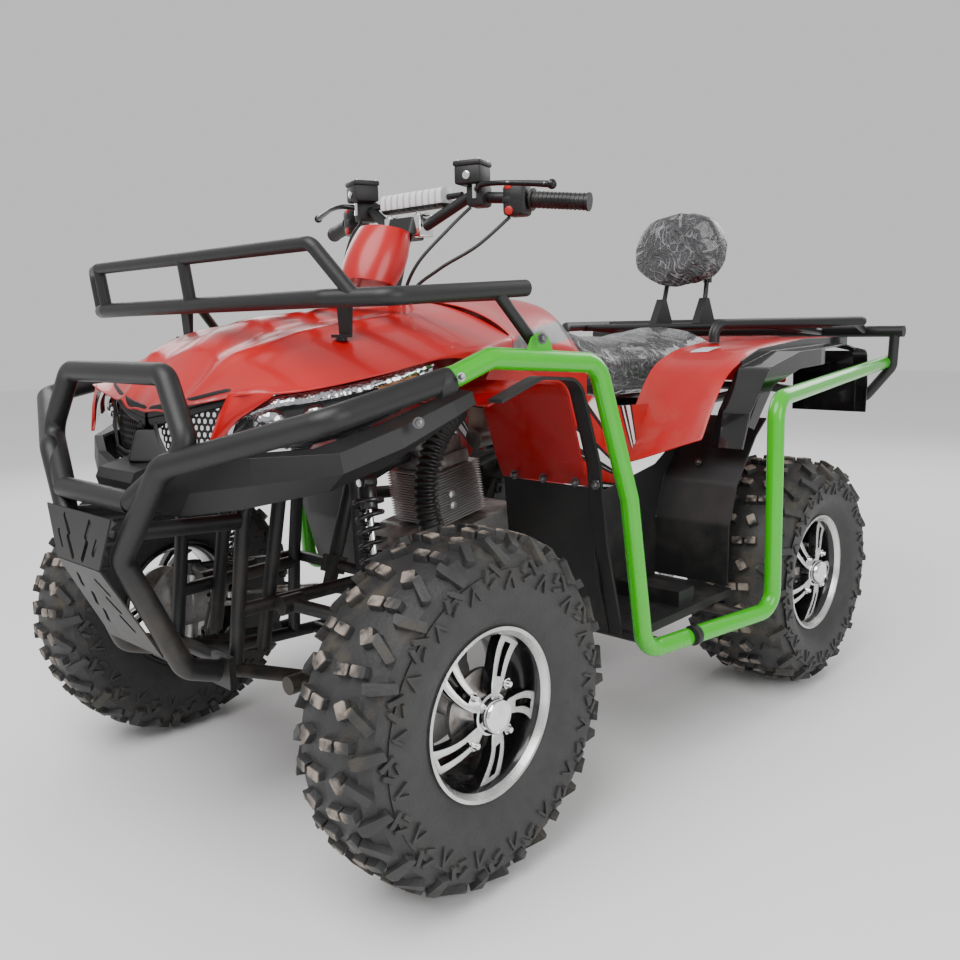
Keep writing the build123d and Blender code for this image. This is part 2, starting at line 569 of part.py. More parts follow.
over_line = [aft(0, -282, 610), aft(0, -248, 690), aft(0, -160, 784), aft(0, 0, 816), aft(0, 330, 824),
             aft(0, 528, 800), aft(0, 540, 700), aft(0, 536, 624)]
over_parts = [strip_yz(over_line, WING_EDGE + FIT, 500, PANEL, 24),
              strip_yz(over_line, -500, -WING_EDGE - FIT, PANEL, 24)]
for side in (1, -1):
    # upstand beside the edge of the painted wing
    x0 = min(side * (WING_EDGE + FIT), side * (WING_EDGE + FIT + PANEL))
    over_parts.append(profile_yz([aft(0, -150, 784), aft(0, 0, 816), aft(0, 330, 824), aft(0, 470, 810),
                                  aft(0, 470, 842), aft(0, 200, 844), aft(0, -60, 826), aft(0, -150, 800)],
                                 x0, x0 + PANEL))
    x0 = min(side * 496, side * 500)
    over_parts.append(profile_yz([aft(0, -262, 660), aft(0, -164, 784), aft(0, 0, 814), aft(0, 330, 822),
                                  aft(0, 526, 798), aft(0, 520, 764), aft(0, 320, 786), aft(0, 0, 776),
                                  aft(0, -140, 744), aft(0, -230, 650)], x0, x0 + PANEL))
    x1, x2 = sorted((side * 240, side * 428))
    over_parts.append(profile_yz([aft(0, 534, 800), aft(0, 538, 624), aft(0, 534, 624), aft(0, 530, 800)], x1, x2))
with BuildPart() as rear_overfenders:
    add(over_parts)
    # the flare narrows towards the rear so that the side guard runs outside it
    with BuildSketch(Plane.XY.offset(600)):
        for side in (1, -1):
            with BuildLine():
                Polyline([aft(side * x, y, 0)[:2] for x, y in
                          ((520, 120), (500, 120), (460, 440), (460, 640), (520, 640))], close=True)
            make_face()
    extrude(amount=300, mode=Mode.SUBTRACT)
save(rear_overfenders.part, "rear_overfenders")

# ---------------------------------------------------------------- footwells
well_back = [aft(0, -318, 304), aft(0, -316, 440), aft(0, -284, 530), aft(0, -200, 632), aft(0, -150, 668)]
wells = []
for side in (1, -1):
    x0, x1 = sorted((side * 300, side * 490))
    wells.append(strip_yz(well_back, x0, x1, PANEL, 30))
    x0, x1 = sorted((side * 296, side * 300))
    wells.append(profile_yz([fore(0, 560, FOOTBOARD_Z + FIT), fore(0, 560, 520), aft(0, -320, 566),
                             aft(0, -196, 632), aft(0, -286, 528), aft(0, -318, 440),
                             aft(0, -320, FOOTBOARD_Z + FIT)], x0, x1))
with BuildPart() as footwells:
    add(wells)
save(footwells.part, "footwells")

boards = []
board_front = fore(0, 452, FOOTBOARD_Z)
board_rear = aft(0, -320 - FIT, FOOTBOARD_Z)
for side in (1, -1):
    x0, x1 = sorted((side * 270, side * 500))
    boards.append(profile_yz([board_front, board_rear, aft(0, -320 - FIT, FOOTBOARD_Z - BOARD_THICK),
                              fore(0, 452, FOOTBOARD_Z - BOARD_THICK)], x0, x1))
    # serrated peg across the middle of the board
    x0, x1 = sorted((side * 330, side * 486))
    boards.append(profile_yz([fore(0, 640, FOOTBOARD_Z - 6), fore(0, 640, FOOTBOARD_Z + 34),
                              fore(0, 700, FOOTBOARD_Z + 34), fore(0, 700, FOOTBOARD_Z - 6)], x0, x1))
with BuildPart() as footboards:
    add(boards)
save(footboards.part, "footboards")

# ---------------------------------------------------------------- engine
CYLINDER_FOOT = fore(0, 420, 474)
CYLINDER_LEAN = 0.16
seat_front = 474 - (420 - 340) * CYLINDER_LEAN - FIT
seat_rear = 474 + (560 - 420) * CYLINDER_LEAN - FIT
with BuildPart() as engine:
    with BuildSketch(Plane.YZ.offset(-112)):
        with BuildLine():
            Polyline(*[(y, z) for _, y, z in [fore(0, 300, 270), fore(0, 640, 262), fore(0, 690, 320),
                       fore(0, 690, 440), fore(0, 560, seat_rear), fore(0, 340, seat_front), fore(0, 280, 400)]],
                     close=True)
        make_face()
    extrude(amount=224)
    fillet(engine.edges().filter_by(Axis.X), 22)
save(engine.part, "engine")

HEAD_DEPTH = 108.0
with BuildPart() as cylinder:
    head_plane = Plane(CYLINDER_FOOT, x_dir=(1, 0, 0), z_dir=(0, -CYLINDER_LEAN, 1))
    with BuildSketch(head_plane):
        RectangleRounded(118, 118, 16)
    extrude(amount=120)
    with BuildSketch(head_plane.offset(120)):
        RectangleRounded(126, HEAD_DEPTH, 12)
    extrude(amount=70)
    for fin in range(9):
        with BuildSketch(head_plane.offset(8 + 13 * fin)):
            RectangleRounded(150, 146, 18)
        extrude(amount=3)
save(cylinder.part, "cylinder")

hose_run = [fore(175, 300, 730), fore(190, 230, 690), fore(196, 190, 600), fore(186, 220, 500),
            fore(178, 345, 410), fore(112 + FIT, 345, 410)]
hose = tube(hose_run, 52, 34)
with BuildPart() as intake_hose:
    add(hose)
save(intake_hose.part, "intake_hose")

MUFFLER_X = 222.0
# the exhaust port is on the front of the cylinder head
head_way = Vector(0, -CYLINDER_LEAN, 1).normalized()
port_way = Vector(0, -1, -CYLINDER_LEAN).normalized()
port = Vector(*CYLINDER_FOOT) + head_way * 155 + port_way * (HEAD_DEPTH / 2 + FIT) + Vector(-20, 0, 0)
pipe = tube([port, port + port_way * 44, fore(-90, 250, 560), fore(-176, 300, 520), fore(-190, 520, 500),
             aft(-200, -300, 560), aft(-MUFFLER_X, 40, 600)], 30, 44)
with BuildPart() as exhaust:
    add(pipe)
    with BuildSketch(Plane(aft(-MUFFLER_X, 36, 600), x_dir=(1, 0, 0), z_dir=(0, 1, 0.16))):
        Ellipse(52, 64)
    extrude(amount=380)
save(exhaust.part, "exhaust")

# ---------------------------------------------------------------- front suspension
UPPER_BALL = (KINGPIN_X - 4, 6, FRONT_WHEEL_Z + KINGPIN_HALF)
LOWER_BALL = (KINGPIN_X + 6, -6, FRONT_WHEEL_Z - KINGPIN_HALF)
BALL_R = 15.0


SOCKET_R = BALL_R + 4


def between(start, end, share):
    """The point that lies a share of the way from start to end."""
    return tuple(a + (b - a) * share for a, b in zip(start, end))


def wishbone(ball, inner_front, inner_rear, tie_shares):
    """An A-arm: two legs from its frame pivots to a socket under or over the ball."""
    socket = (ball[0] - 14, ball[1], ball[2])
    legs = [tube([fore(*socket), fore(*pivot)], ARM_TUBE) for pivot in (inner_front, inner_rear)]
    barrels = [rod(fore(x, y - 22, z), fore(x, y + 22, z), 34) for x, y, z in (inner_front, inner_rear)]
    ties = [rod(fore(*between(inner_front, socket, share)), fore(*between(inner_rear, socket, share)), 18)
            for share in tie_shares]
    with BuildPart() as arm:
        add(legs + barrels + ties)
        with Locations(Location(fore(*ball))):
            Cylinder(SOCKET_R, 26)
    return arm.part


upper_seat = (UPPER_BALL[0], UPPER_BALL[1], UPPER_BALL[2] + 14)
lower_seat = (LOWER_BALL[0], LOWER_BALL[1], LOWER_BALL[2] - 14)
upper_arm = wishbone(upper_seat, (134.6, -88, UPPER_PIVOT_Z), (143.2, 96, UPPER_PIVOT_Z), (0.3,))
lower_arm = wishbone(lower_seat, (154.3, -96, 276), (156.1, 100, 262), (0.3, 0.68))
with BuildPart() as suspension_arms:
    add([upper_arm, lower_arm, mirror(upper_arm, about=Plane.YZ), mirror(lower_arm, about=Plane.YZ)])
save(suspension_arms.part, "suspension_arms")


def damper(top, foot, body, coil, coil_length, place, across):
    """A coil-over damper: its body, the spring sleeve round the upper part and two eyes."""
    start, end = Vector(*place(*top)), Vector(*place(*foot))
    way = (end - start).normalized()
    pieces = [rod(start, end, body), rod(start + way * 40, start + way * (40 + coil_length), coil),
              rod(start - across * 16, start + across * 16, 2 * EYE_R),
              rod(end - across * 16, end + across * 16, 2 * EYE_R)]
    with BuildPart() as unit:
        add(pieces)
    return unit.part


front_damper = damper(SHOCK_TOP, SHOCK_FOOT, 26, 56, 150, fore, Vector(0, 1, 0))
with BuildPart() as front_dampers:
    add([front_damper, mirror(front_damper, about=Plane.YZ)])
save(front_dampers.part, "front_dampers")

# ---------------------------------------------------------------- steering column and bars
column = Vector(*fore(*COLUMN_TOP)) - Vector(*fore(*COLUMN_FOOT))
column_way = column.normalized()
PITMAN_REACH = 72.0
PITMAN_X = 26.0
foot_plane = Plane(fore(*COLUMN_FOOT), x_dir=(1, 0, 0), z_dir=column_way)
with BuildPart() as steering_stem:
    with BuildSketch(foot_plane):
        Circle(STEM_R)
    extrude(amount=column.length)
    with BuildSketch(foot_plane):
        with BuildLine():
            Polyline((-24, -20), (24, -20), (PITMAN_X + 11, PITMAN_REACH + 11), (-PITMAN_X - 11, PITMAN_REACH + 11),
                     close=True)
        make_face()
    extrude(amount=8)
save(steering_stem.part, "steering_stem")

BAR_CLAMP = (52, 352, 1100)
BAR_RISE = (148, 382, 1150)
BAR_BEND = (215, 405, 1144)
BAR_END = (276, 425, 1136)
CROSSBAR = (134, 377, 1156)
bar_half = [BAR_END, BAR_BEND, BAR_RISE, BAR_CLAMP]
bar_run = [fore(*point) for point in bar_half] + [fore(-x, y, z) for x, y, z in reversed(bar_half)]
with BuildPart() as handlebar:
    add([tube(bar_run, HANDLEBAR_TUBE, 26), rod(fore(-CROSSBAR[0], *CROSSBAR[1:]), fore(*CROSSBAR), 12)])
    with BuildSketch(foot_plane.offset(column.length + FIT)):
        RectangleRounded(78, 44, 8)
    extrude(amount=34)
save(handlebar.part, "handlebar")

grip_start = Vector(*BAR_END)
grip_way = (Vector(388, 461, 1123) - grip_start).normalized()
grip_parts = []
for side in (1, -1):
    start = grip_start + grip_way * 0.2
    end = grip_start + grip_way * GRIP_LENGTH
    grip_parts.append(tube([fore(side * start.X, start.Y, start.Z), fore(side * end.X, end.Y, end.Z)], GRIP_OD - 4))
    flange = start + grip_way * 5
    knob = end - grip_way * 8
    grip_parts.append(tube([fore(side * start.X, start.Y, start.Z), fore(side * flange.X, flange.Y, flange.Z)],
                           GRIP_OD + 10))
    grip_parts.append(tube([fore(side * knob.X, knob.Y, knob.Z), fore(side * end.X, end.Y, end.Z)], GRIP_OD + 2))
with BuildPart() as handlebar_grips:
    add(grip_parts)
save(handlebar_grips.part, "handlebar_grips")

PAD_HALF = 94.0
with BuildPart() as crossbar_pad:
    with BuildSketch(Plane(fore(-PAD_HALF, *CROSSBAR[1:]), x_dir=(0, 1, 0), z_dir=(1, 0, 0))):
        RectangleRounded(42, 40, 15)
        Circle(6 + FIT, mode=Mode.SUBTRACT)
    extrude(amount=2 * PAD_HALF)
save(crossbar_pad.part, "crossbar_pad")

stem_shape = rod(fore(*COLUMN_FOOT), fore(*COLUMN_TOP), 2 * (STEM_R + FIT))
with BuildPart() as nacelle:
    with BuildSketch(Plane(fore(0, 232, 984), x_dir=(1, 0, 0), z_dir=(0, 0.22, 1))):
        Ellipse(60, 52)
    with BuildSketch(Plane(fore(0, 262, 1040), x_dir=(1, 0, 0), z_dir=(0, 0.22, 1))):
        Ellipse(64, 60)
    with BuildSketch(Plane(fore(0, 284, 1090), x_dir=(1, 0, 0), z_dir=(0, 0.22, 1))):
        Ellipse(56, 48)
    loft()
    add(stem_shape, mode=Mode.SUBTRACT)
save(nacelle.part, "nacelle")


def control(side):
    """Brake lever, its perch and fluid reservoir, and the switch housing beside the grip."""
    bar_tool = tube([fore(side * x, y, z) for x, y, z in bar_half], HANDLEBAR_TUBE + 2 * FIT, 26)
    turn = side * 18.0
    with BuildPart() as unit:
        with Locations(Location(fore(side * 172, 386, 1150), (0, 0, turn))):
            Box(34, 46, 40)
        with Locations(Location(fore(side * 168, 372, 1190), (0, 0, turn))):
            Box(50, 50, 40)
        with Locations(Location(fore(side * 246, 416, 1136), (0, 0, turn))):
            Box(42, 48, 56)
        with Locations(Location(fore(side * 262, 421, 1137), (0, 0, turn))):
            Box(16, 40, 44)
        add(tube([fore(side * 176, 372, 1158), fore(side * 210, 350, 1164), fore(side * 290, 366, 1160),
                  fore(side * 362, 392, 1152)], 12, 20))
        add(bar_tool, mode=Mode.SUBTRACT)
    return unit.part


controls = [control(1), control(-1)]
with BuildPart() as hand_controls:
    add(controls)
save(hand_controls.part, "hand_controls")

# brake hoses and throttle cables, from the controls through the holes in the hood
CABLE = 7.0
cable_runs = [[(168, 364, 1127), (152, 318, 1085), (114, 268, 1020), (84, 256, 958), (74, 260, 890)],
              [(238, 402, 1104.9), (196, 350, 1050), (134, 306, 1008), (84, 276, 962), (84, 270, 890)]]
cables = [tube([fore(side * x, y, z) for x, y, z in run], CABLE, 26) for run in cable_runs for side in (1, -1)]
with BuildPart() as control_cables:
    add(cables)
save(control_cables.part, "control_cables")

# ---------------------------------------------------------------- knuckles and tie rods
ARM_END = (KINGPIN_X - 26, 84, FRONT_WHEEL_Z + 6)
SPINDLE_R = 12.0
HUB_INNER_X = FRONT_TRACK / 2 - 70
HUB_OUTER_X = FRONT_TRACK / 2 + 38


def knuckle(side):
    """Upright with two ball pins, stub axle, steering arm and brake caliper."""
    pins = [fore(side * UPPER_BALL[0], UPPER_BALL[1], UPPER_BALL[2] - 1.0),
            fore(side * LOWER_BALL[0], LOWER_BALL[1], LOWER_BALL[2] + 1.0)]
    arm = tube([fore(side * KINGPIN_X, 0, FRONT_WHEEL_Z), fore(side * (KINGPIN_X - 4), 50, FRONT_WHEEL_Z - 10),
                fore(side * ARM_END[0], ARM_END[1], ARM_END[2] - 14)], 14, 12)
    with BuildPart() as upright:
        add([tube(pins, 30), arm, rod(fore(side * KINGPIN_X, 0, FRONT_WHEEL_Z),
                                      fore(side * (HUB_OUTER_X - 12), 0, FRONT_WHEEL_Z), 2 * SPINDLE_R)])
        with Locations(fore(side * KINGPIN_X, 0, FRONT_WHEEL_Z)):
            Box(26, 60, 76)
        with Locations(fore(side * ARM_END[0], ARM_END[1], ARM_END[2] - 12)):
            Cylinder(13, 11)
        with Locations(fore(side * (KINGPIN_X + 14), 64, FRONT_WHEEL_Z + 40)):
            Box(46, 44, 62)
        with Locations(fore(side * (KINGPIN_X + 6), 34, FRONT_WHEEL_Z + 30)):
            Box(20, 50, 22)
        with BuildSketch(Plane(fore(side * (HUB_INNER_X - 1), 0, FRONT_WHEEL_Z), z_dir=(side, 0, 0))):
            Circle(120)
            Circle(SPINDLE_R + BEARING_GAP, mode=Mode.SUBTRACT)
        extrude(amount=20, mode=Mode.SUBTRACT)
    return upright.part


for side, word in ((1, "left"), (-1, "right")):
    save(knuckle(side), "knuckle_" + word)
    pitman_end = foot_plane.from_local_coords((side * PITMAN_X, PITMAN_REACH, 8 + FIT + 7))
    arm_top = Vector(*fore(side * ARM_END[0], ARM_END[1], ARM_END[2] + 7 + FIT))
    with BuildPart() as tie_rod:
        add([tube([pitman_end + column_way * 4, arm_top + Vector(0, 0, 2)], 14)])
        with BuildSketch(Plane(pitman_end - column_way * 7, x_dir=(1, 0, 0), z_dir=column_way)):
            Circle(12)
        extrude(amount=18)
        with BuildSketch(Plane(arm_top - Vector(0, 0, 7), x_dir=(1, 0, 0), z_dir=(0, 0, 1))):
            Circle(12)
        extrude(amount=14)
    save(tie_rod.part, "tie_rod_" + word)


# ---------------------------------------------------------------- wheels
def tyre_ring(centre, diameter, width, rim_width):
    """A hollow carcass: sidewalls from the beads, shoulders and a crowned tread."""
    outer = diameter / 2
    half = width / 2
    bead = RIM_BARREL_R + RIM_WALL + FIT
    skin = 13.0
    rim_half = rim_width / 2 - 9
    with BuildPart() as ring:
        with BuildSketch(Plane(centre, x_dir=(0, 0, 1), z_dir=(0, 1, 0))):
            with BuildLine():
                Polyline((bead, rim_half), (RIM_FLANGE_R + 16, rim_half + 5), (outer * 0.74, half),
                         (outer * 0.92, half - 5), (outer * 0.975, half - 20), (outer, half * 0.5),
                         (outer, -half * 0.5), (outer * 0.975, -half + 20), (outer * 0.92, -half + 5),
                         (outer * 0.74, -half), (RIM_FLANGE_R + 16, -rim_half - 5), (bead, -rim_half),
                         (bead, -rim_half + skin), (outer * 0.74, -half + skin), (outer * 0.9, -half + 20),
                         (outer - skin - 6, -half * 0.5), (outer - skin - 6, half * 0.5),
                         (outer * 0.9, half - 20), (outer * 0.74, half - skin), (bead, rim_half - skin),
                         close=True)
            make_face()
        revolve(axis=Axis(centre, (1, 0, 0)))
    return ring.part


def rim_wheel(centre, side, rim_width, disc_x):
    """Cast wheel: barrel with two flanges, a disc with five pairs of slots, hub and bolt holes."""
    half = rim_width / 2
    face = disc_x - centre[0]
    with BuildPart() as wheel:
        with BuildSketch(Plane(centre, x_dir=(0, 0, 1), z_dir=(0, 1, 0))):
            with BuildLine():
                Polyline((RIM_FLANGE_R, half), (RIM_FLANGE_R, half - 5), (RIM_BARREL_R + RIM_WALL, half - 8),
                         (RIM_BARREL_R + RIM_WALL, -half + 8), (RIM_FLANGE_R, -half + 5), (RIM_FLANGE_R, -half),
                         (RIM_BARREL_R, -half + 4), (RIM_BARREL_R, half - 4), close=True)
            make_face()
        revolve(axis=Axis(centre, (1, 0, 0)))
        disc = Plane(Vector(*centre) + Vector(face, 0, 0), x_dir=(0, 1, 0), z_dir=(side, 0, 0))
        with BuildSketch(disc):
            Circle(RIM_BARREL_R + 2)
            for spoke in range(5):
                with BuildLine(Plane.XY.rotated((0, 0, 90 + 72 * spoke))):
                    Polyline((74, -3), (114, -8), (114, 8), (74, 3), close=True)
                make_face(mode=Mode.SUBTRACT)
                with BuildLine(Plane.XY.rotated((0, 0, 90 + 72 * (spoke + 0.5)))):
                    Polyline((72, -16), (108, -40), (115, -20), (117, 0), (115, 20), (108, 40), (72, 16), close=True)
                make_face(mode=Mode.SUBTRACT)
        extrude(amount=12)
        with BuildSketch(disc):
            Circle(36)
        extrude(amount=26)
        with BuildSketch(disc.offset(-1)):
            with PolarLocations(WHEEL_BOLT_PCD / 2, 4, 45):
                Circle(WHEEL_BOLT_R)
        extrude(amount=30, mode=Mode.SUBTRACT)
    return wheel.part


front_disc_x = HUB_OUTER_X
rear_disc_x = REAR_TRACK / 2 + 66
for side, word in ((1, "left"), (-1, "right")):
    front_centre = fore(side * FRONT_TRACK / 2, 0, FRONT_WHEEL_Z)
    rear_centre = aft(side * REAR_TRACK / 2, 0, REAR_WHEEL_Z)
    save(tyre_ring(front_centre, FRONT_TYRE_OD, FRONT_TYRE_WIDTH, FRONT_RIM_WIDTH), "front_tyre_" + word)
    save(tyre_ring(rear_centre, REAR_TYRE_OD, REAR_TYRE_WIDTH, REAR_RIM_WIDTH), "rear_tyre_" + word)
    save(rim_wheel(front_centre, side, FRONT_RIM_WIDTH, side * front_disc_x), "front_rim_" + word)
    save(rim_wheel(rear_centre, side, REAR_RIM_WIDTH, side * rear_disc_x), "rear_rim_" + word)
    with BuildPart() as hub:
        hub_plane = Plane(fore(side * HUB_INNER_X, 0, FRONT_WHEEL_Z), z_dir=(side, 0, 0))
        with BuildSketch(hub_plane):
            Circle(28)
        extrude(amount=HUB_OUTER_X - HUB_INNER_X)
        with BuildSketch(hub_plane):
            Circle(88)
        extrude(amount=4)
        with BuildSketch(hub_plane.offset(HUB_OUTER_X - HUB_INNER_X - 8)):
            Circle(WHEEL_BOLT_PCD / 2 + 13)
        extrude(amount=8)
        with BuildSketch(hub_plane):
            Circle(SPINDLE_R + BEARING_GAP)
        extrude(amount=HUB_OUTER_X - HUB_INNER_X - 11, mode=Mode.SUBTRACT)
    save(hub.part, "front_hub_" + word)

# ---------------------------------------------------------------- rear axle and swing arm
AXLE_R = 18.0
with BuildPart() as rear_axle:
    with BuildSketch(Plane(aft(-rear_disc_x, 0, REAR_WHEEL_Z), z_dir=(1, 0, 0))):
        Circle(AXLE_R)
    extrude(amount=2 * rear_disc_x)
    flange = WHEEL_BOLT_PCD / 2 + 13
    for x, radius, thick in ((-rear_disc_x, flange, 10), (rear_disc_x - 10, flange, 10), (146, 86, 5), (-170, 92, 7),
                             (128, 32, 20), (-172, 34, 26)):
        with BuildSketch(Plane(aft(x, 0, REAR_WHEEL_Z), z_dir=(1, 0, 0))):
            Circle(radius)
        extrude(amount=thick)
save(rear_axle.part, "rear_axle")

swing_legs = [tube([aft(side * 84, -315, 268), aft(side * 92, -60, REAR_WHEEL_Z)], 40) for side in (1, -1)]
with BuildPart() as swing_arm:
    add(swing_legs)
    add(rod(aft(-104, -316 + 24, 268), aft(104, -316 + 24, 268), 34))
    with BuildSketch(Plane(aft(-108, 0, REAR_WHEEL_Z), z_dir=(1, 0, 0))):
        Circle(42)
    extrude(amount=216)
    for x in (-92, 92):
        with Locations(aft(x, -40, REAR_WHEEL_Z)):
            Box(30, 60, 60)
    with Locations(aft(0, -70, REAR_WHEEL_Z + 24)):
        Box(150, 30, 30)
    with BuildSketch(Plane(aft(-150, 0, REAR_WHEEL_Z), z_dir=(1, 0, 0))):
        Circle(AXLE_R + BEARING_GAP)
    extrude(amount=300, mode=Mode.SUBTRACT)
save(swing_arm.part, "swing_arm")

rear_unit = damper((0, REAR_DAMPER_Y, REAR_DAMPER_TOP_Z), (0, -70, REAR_WHEEL_Z + 39 + EYE_R + FIT), 34, 64, 170,
                   aft, Vector(1, 0, 0))
with BuildPart() as rear_damper:
    add(rear_unit)
save(rear_damper.part, "rear_damper")

# ---------------------------------------------------------------- tail lamps
with BuildPart() as tail_lamps:
    for side in (1, -1):
        with Locations(aft(side * 180, 551.6, 770)):
            Box(110, 18, 56)
save(tail_lamps.part, "tail_lamps")
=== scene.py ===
import math
import bpy
import bmesh
from mathutils import Matrix, Vector, noise


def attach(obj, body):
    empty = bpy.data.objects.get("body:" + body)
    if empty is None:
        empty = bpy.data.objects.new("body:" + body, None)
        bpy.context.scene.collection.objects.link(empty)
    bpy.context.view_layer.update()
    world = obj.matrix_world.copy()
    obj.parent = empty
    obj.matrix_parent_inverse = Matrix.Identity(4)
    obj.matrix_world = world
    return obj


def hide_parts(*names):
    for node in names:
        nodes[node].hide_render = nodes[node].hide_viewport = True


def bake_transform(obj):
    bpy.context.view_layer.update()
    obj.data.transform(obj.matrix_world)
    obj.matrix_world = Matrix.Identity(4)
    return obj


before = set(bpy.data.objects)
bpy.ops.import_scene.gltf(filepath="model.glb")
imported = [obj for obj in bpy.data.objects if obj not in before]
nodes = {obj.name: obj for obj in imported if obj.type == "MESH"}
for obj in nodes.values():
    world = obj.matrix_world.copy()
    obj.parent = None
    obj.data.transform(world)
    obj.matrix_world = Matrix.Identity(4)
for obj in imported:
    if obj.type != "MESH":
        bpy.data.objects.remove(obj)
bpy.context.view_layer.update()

# ------------------------------------------------------------------ the view
# The eye of somebody who stands a step ahead of the rider's left front wheel, at the height
# of the rack, and looks back along the vehicle.
turn, drop, lean = math.radians(43.22), math.radians(9.61), math.radians(-1.24)
ahead = Vector((-math.sin(turn) * math.cos(drop), math.cos(turn) * math.cos(drop), -math.sin(drop)))
level = Vector((math.cos(turn), math.sin(turn), 0))
over = level.cross(ahead)
sideways = level * math.cos(lean) + over * math.sin(lean)
upwards = over * math.cos(lean) - level * math.sin(lean)
eye = bpy.data.cameras.new("camera")
eye.lens, eye.sensor_width = 34.73, 36.0
camera = bpy.data.objects.new("camera", eye)
turned = Matrix((sideways, upwards, -ahead)).transposed().to_4x4()
camera.matrix_world = Matrix.Translation((1.472, -1.709, 0.901)) @ turned
bpy.context.collection.objects.link(camera)
bpy.context.scene.camera = camera


# ------------------------------------------------------------------ the studio
# A seamless pale floor under broad soft lamps: a high one ahead, one on the rider's left, a weak one on the right and
# one behind that edges the tubes.
class Paint:
    """A socket of a material: sums and products of it add Math nodes, and node() adds the rest."""

    def __init__(self, tree, socket=None):
        self.tree, self.socket = tree, socket

    def node(self, kind, inputs=None, out=0, stops=None, **settings):
        """Adds a node: its settings and ramp stops first, then the values or links of its sockets."""
        made = self.tree.nodes.new("ShaderNode" + kind)
        for key, value in settings.items():
            setattr(made, key, value)
        if stops:
            ramp = made.color_ramp.elements
            while len(ramp) < len(stops):
                ramp.new(0.5)
            for element, (place, colour) in zip(ramp, stops):
                element.position = place
                element.color = (*colour, 1) if isinstance(colour, tuple) else (colour, colour, colour, 1)
        for key, value in (inputs or {}).items():
            if isinstance(value, Paint):
                self.tree.links.new(value.socket, made.inputs[key])
            else:
                made.inputs[key].default_value = value
        return Paint(self.tree, made.outputs[out])

    def sum(self, operation, a, b):
        return self.node("Math", {0: a, 1: b}, operation=operation)

    def __add__(self, other):
        return self.sum("ADD", self, other)

    def __radd__(self, other):
        return self.sum("ADD", other, self)

    def __sub__(self, other):
        return self.sum("SUBTRACT", self, other)

    def __rsub__(self, other):
        return self.sum("SUBTRACT", other, self)

    def __mul__(self, other):
        return self.sum("MULTIPLY", self, other)

    def __rmul__(self, other):
        return self.sum("MULTIPLY", other, self)

    def __gt__(self, other):
        return self.sum("GREATER_THAN", self, other)

    def ramp(self, low, high, clamp=True):
        """0 below low, 1 above high."""
        return self.node("MapRange", {"Value": self, "From Min": low, "From Max": high}, clamp=clamp)

    def noise(self, scale, detail=3.0, rough=0.55):
        return self.node("TexNoise", {"Vector": self, "Scale": scale, "Detail": detail, "Roughness": rough})

    def mix(self, a, b):
        """The colour a where this is 0 and b where it is 1."""
        a, b = [(*c, 1) if isinstance(c, tuple) else c for c in (a, b)]
        return self.node("Mix", {0: self, 6: a, 7: b}, out=2, data_type="RGBA")

    def shift(self, centre=(0, 0, 0), scale=(1, 1, 1)):
        """Coordinates counted from a centre."""
        moved = self.node("VectorMath", {0: self, 1: centre}, operation="SUBTRACT")
        return self.node("VectorMath", {0: moved, 1: scale}, operation="MULTIPLY")

    def length(self):
        return self.node("VectorMath", {0: self}, out=1, operation="LENGTH")

    def axes(self):
        return [self.node("SeparateXYZ", {0: self}, out=k) for k in range(3)]


def material(name, paint):
    """A new material: paint(point) gets the object's coordinates and returns the shader's inputs."""
    made = bpy.data.materials.new(name)
    made.use_nodes = True
    tree = made.node_tree
    shader = tree.nodes["Principled BSDF"]
    point = Paint(tree).node("TexCoord", out=3)
    inputs = paint(point)
    edge = inputs.pop("Edge", 0)
    for key, value in inputs.items():
        if key == "Height":
            depth, value = value
            # an edge of that radius looks rounded where the mesh has a sharp corner
            corner = {"Normal": point.node("Bevel", {"Radius": edge}, samples=4)} if edge else {}
            value = point.node("Bump", {"Height": value, "Distance": depth, "Strength": 1.0, **corner})
            key = "Normal"
        if isinstance(value, Paint):
            tree.links.new(value.socket, shader.inputs[key])
        else:
            shader.inputs[key].default_value = (*value, 1) if isinstance(value, tuple) and len(value) == 3 else value
    return made


def floor_paint(point):
    cloud = point.noise(0.8, 2)
    return {"Base Color": cloud.mix((0.88, 0.88, 0.88), (0.91, 0.91, 0.91)), "Roughness": 0.9}


def added(name, bm, *finishes, smooth=35):
    """A finished mesh becomes an object at the origin, smooth except at edges sharper than the angle."""
    mesh = bpy.data.meshes.new(name)
    bm.to_mesh(mesh)
    bm.free()
    for finish in finishes:
        mesh.materials.append(finish)
    piece = bpy.data.objects.new(name, mesh)
    bpy.context.collection.objects.link(piece)
    if smooth:
        mesh.shade_smooth()
        mesh.set_sharp_from_angle(angle=math.radians(smooth))
    return piece


bm = bmesh.new()
bmesh.ops.create_grid(bm, x_segments=2, y_segments=2, size=14)
floor = added("floor", bm, material("floor_pale", floor_paint))
world = bpy.data.worlds.new("studio")
world.use_nodes = True
world.node_tree.nodes["Background"].inputs[0].default_value = (1.0, 1.0, 1.0, 1)
world.node_tree.nodes["Background"].inputs[1].default_value = 0.72
bpy.context.scene.world = world
for name, place, aim, size, watts in (
        ("lamp_high", (0.6, -2.6, 3.6), (0, -0.2, 0.6), 3.2, 150), ("lamp_left", (4.0, -0.6, 1.9),
        (0, 0, 0.6), 2.4, 60),
        ("lamp_right", (-3.8, 1.0, 2.6), (0, 0, 0.6), 2.4, 45), ("lamp_back", (0.4, 4.2, 3.0), (0, 0.3, 0.8), 2.6, 60)):
    light = bpy.data.lights.new(name, "AREA")
    light.shape, light.size, light.energy = "DISK", size, watts
    holder = bpy.data.objects.new(name, light)
    way = Vector(aim) - Vector(place)
    holder.matrix_world = Matrix.Translation(place) @ way.to_track_quat("-Z", "Y").to_matrix().to_4x4()
    bpy.context.collection.objects.link(holder)

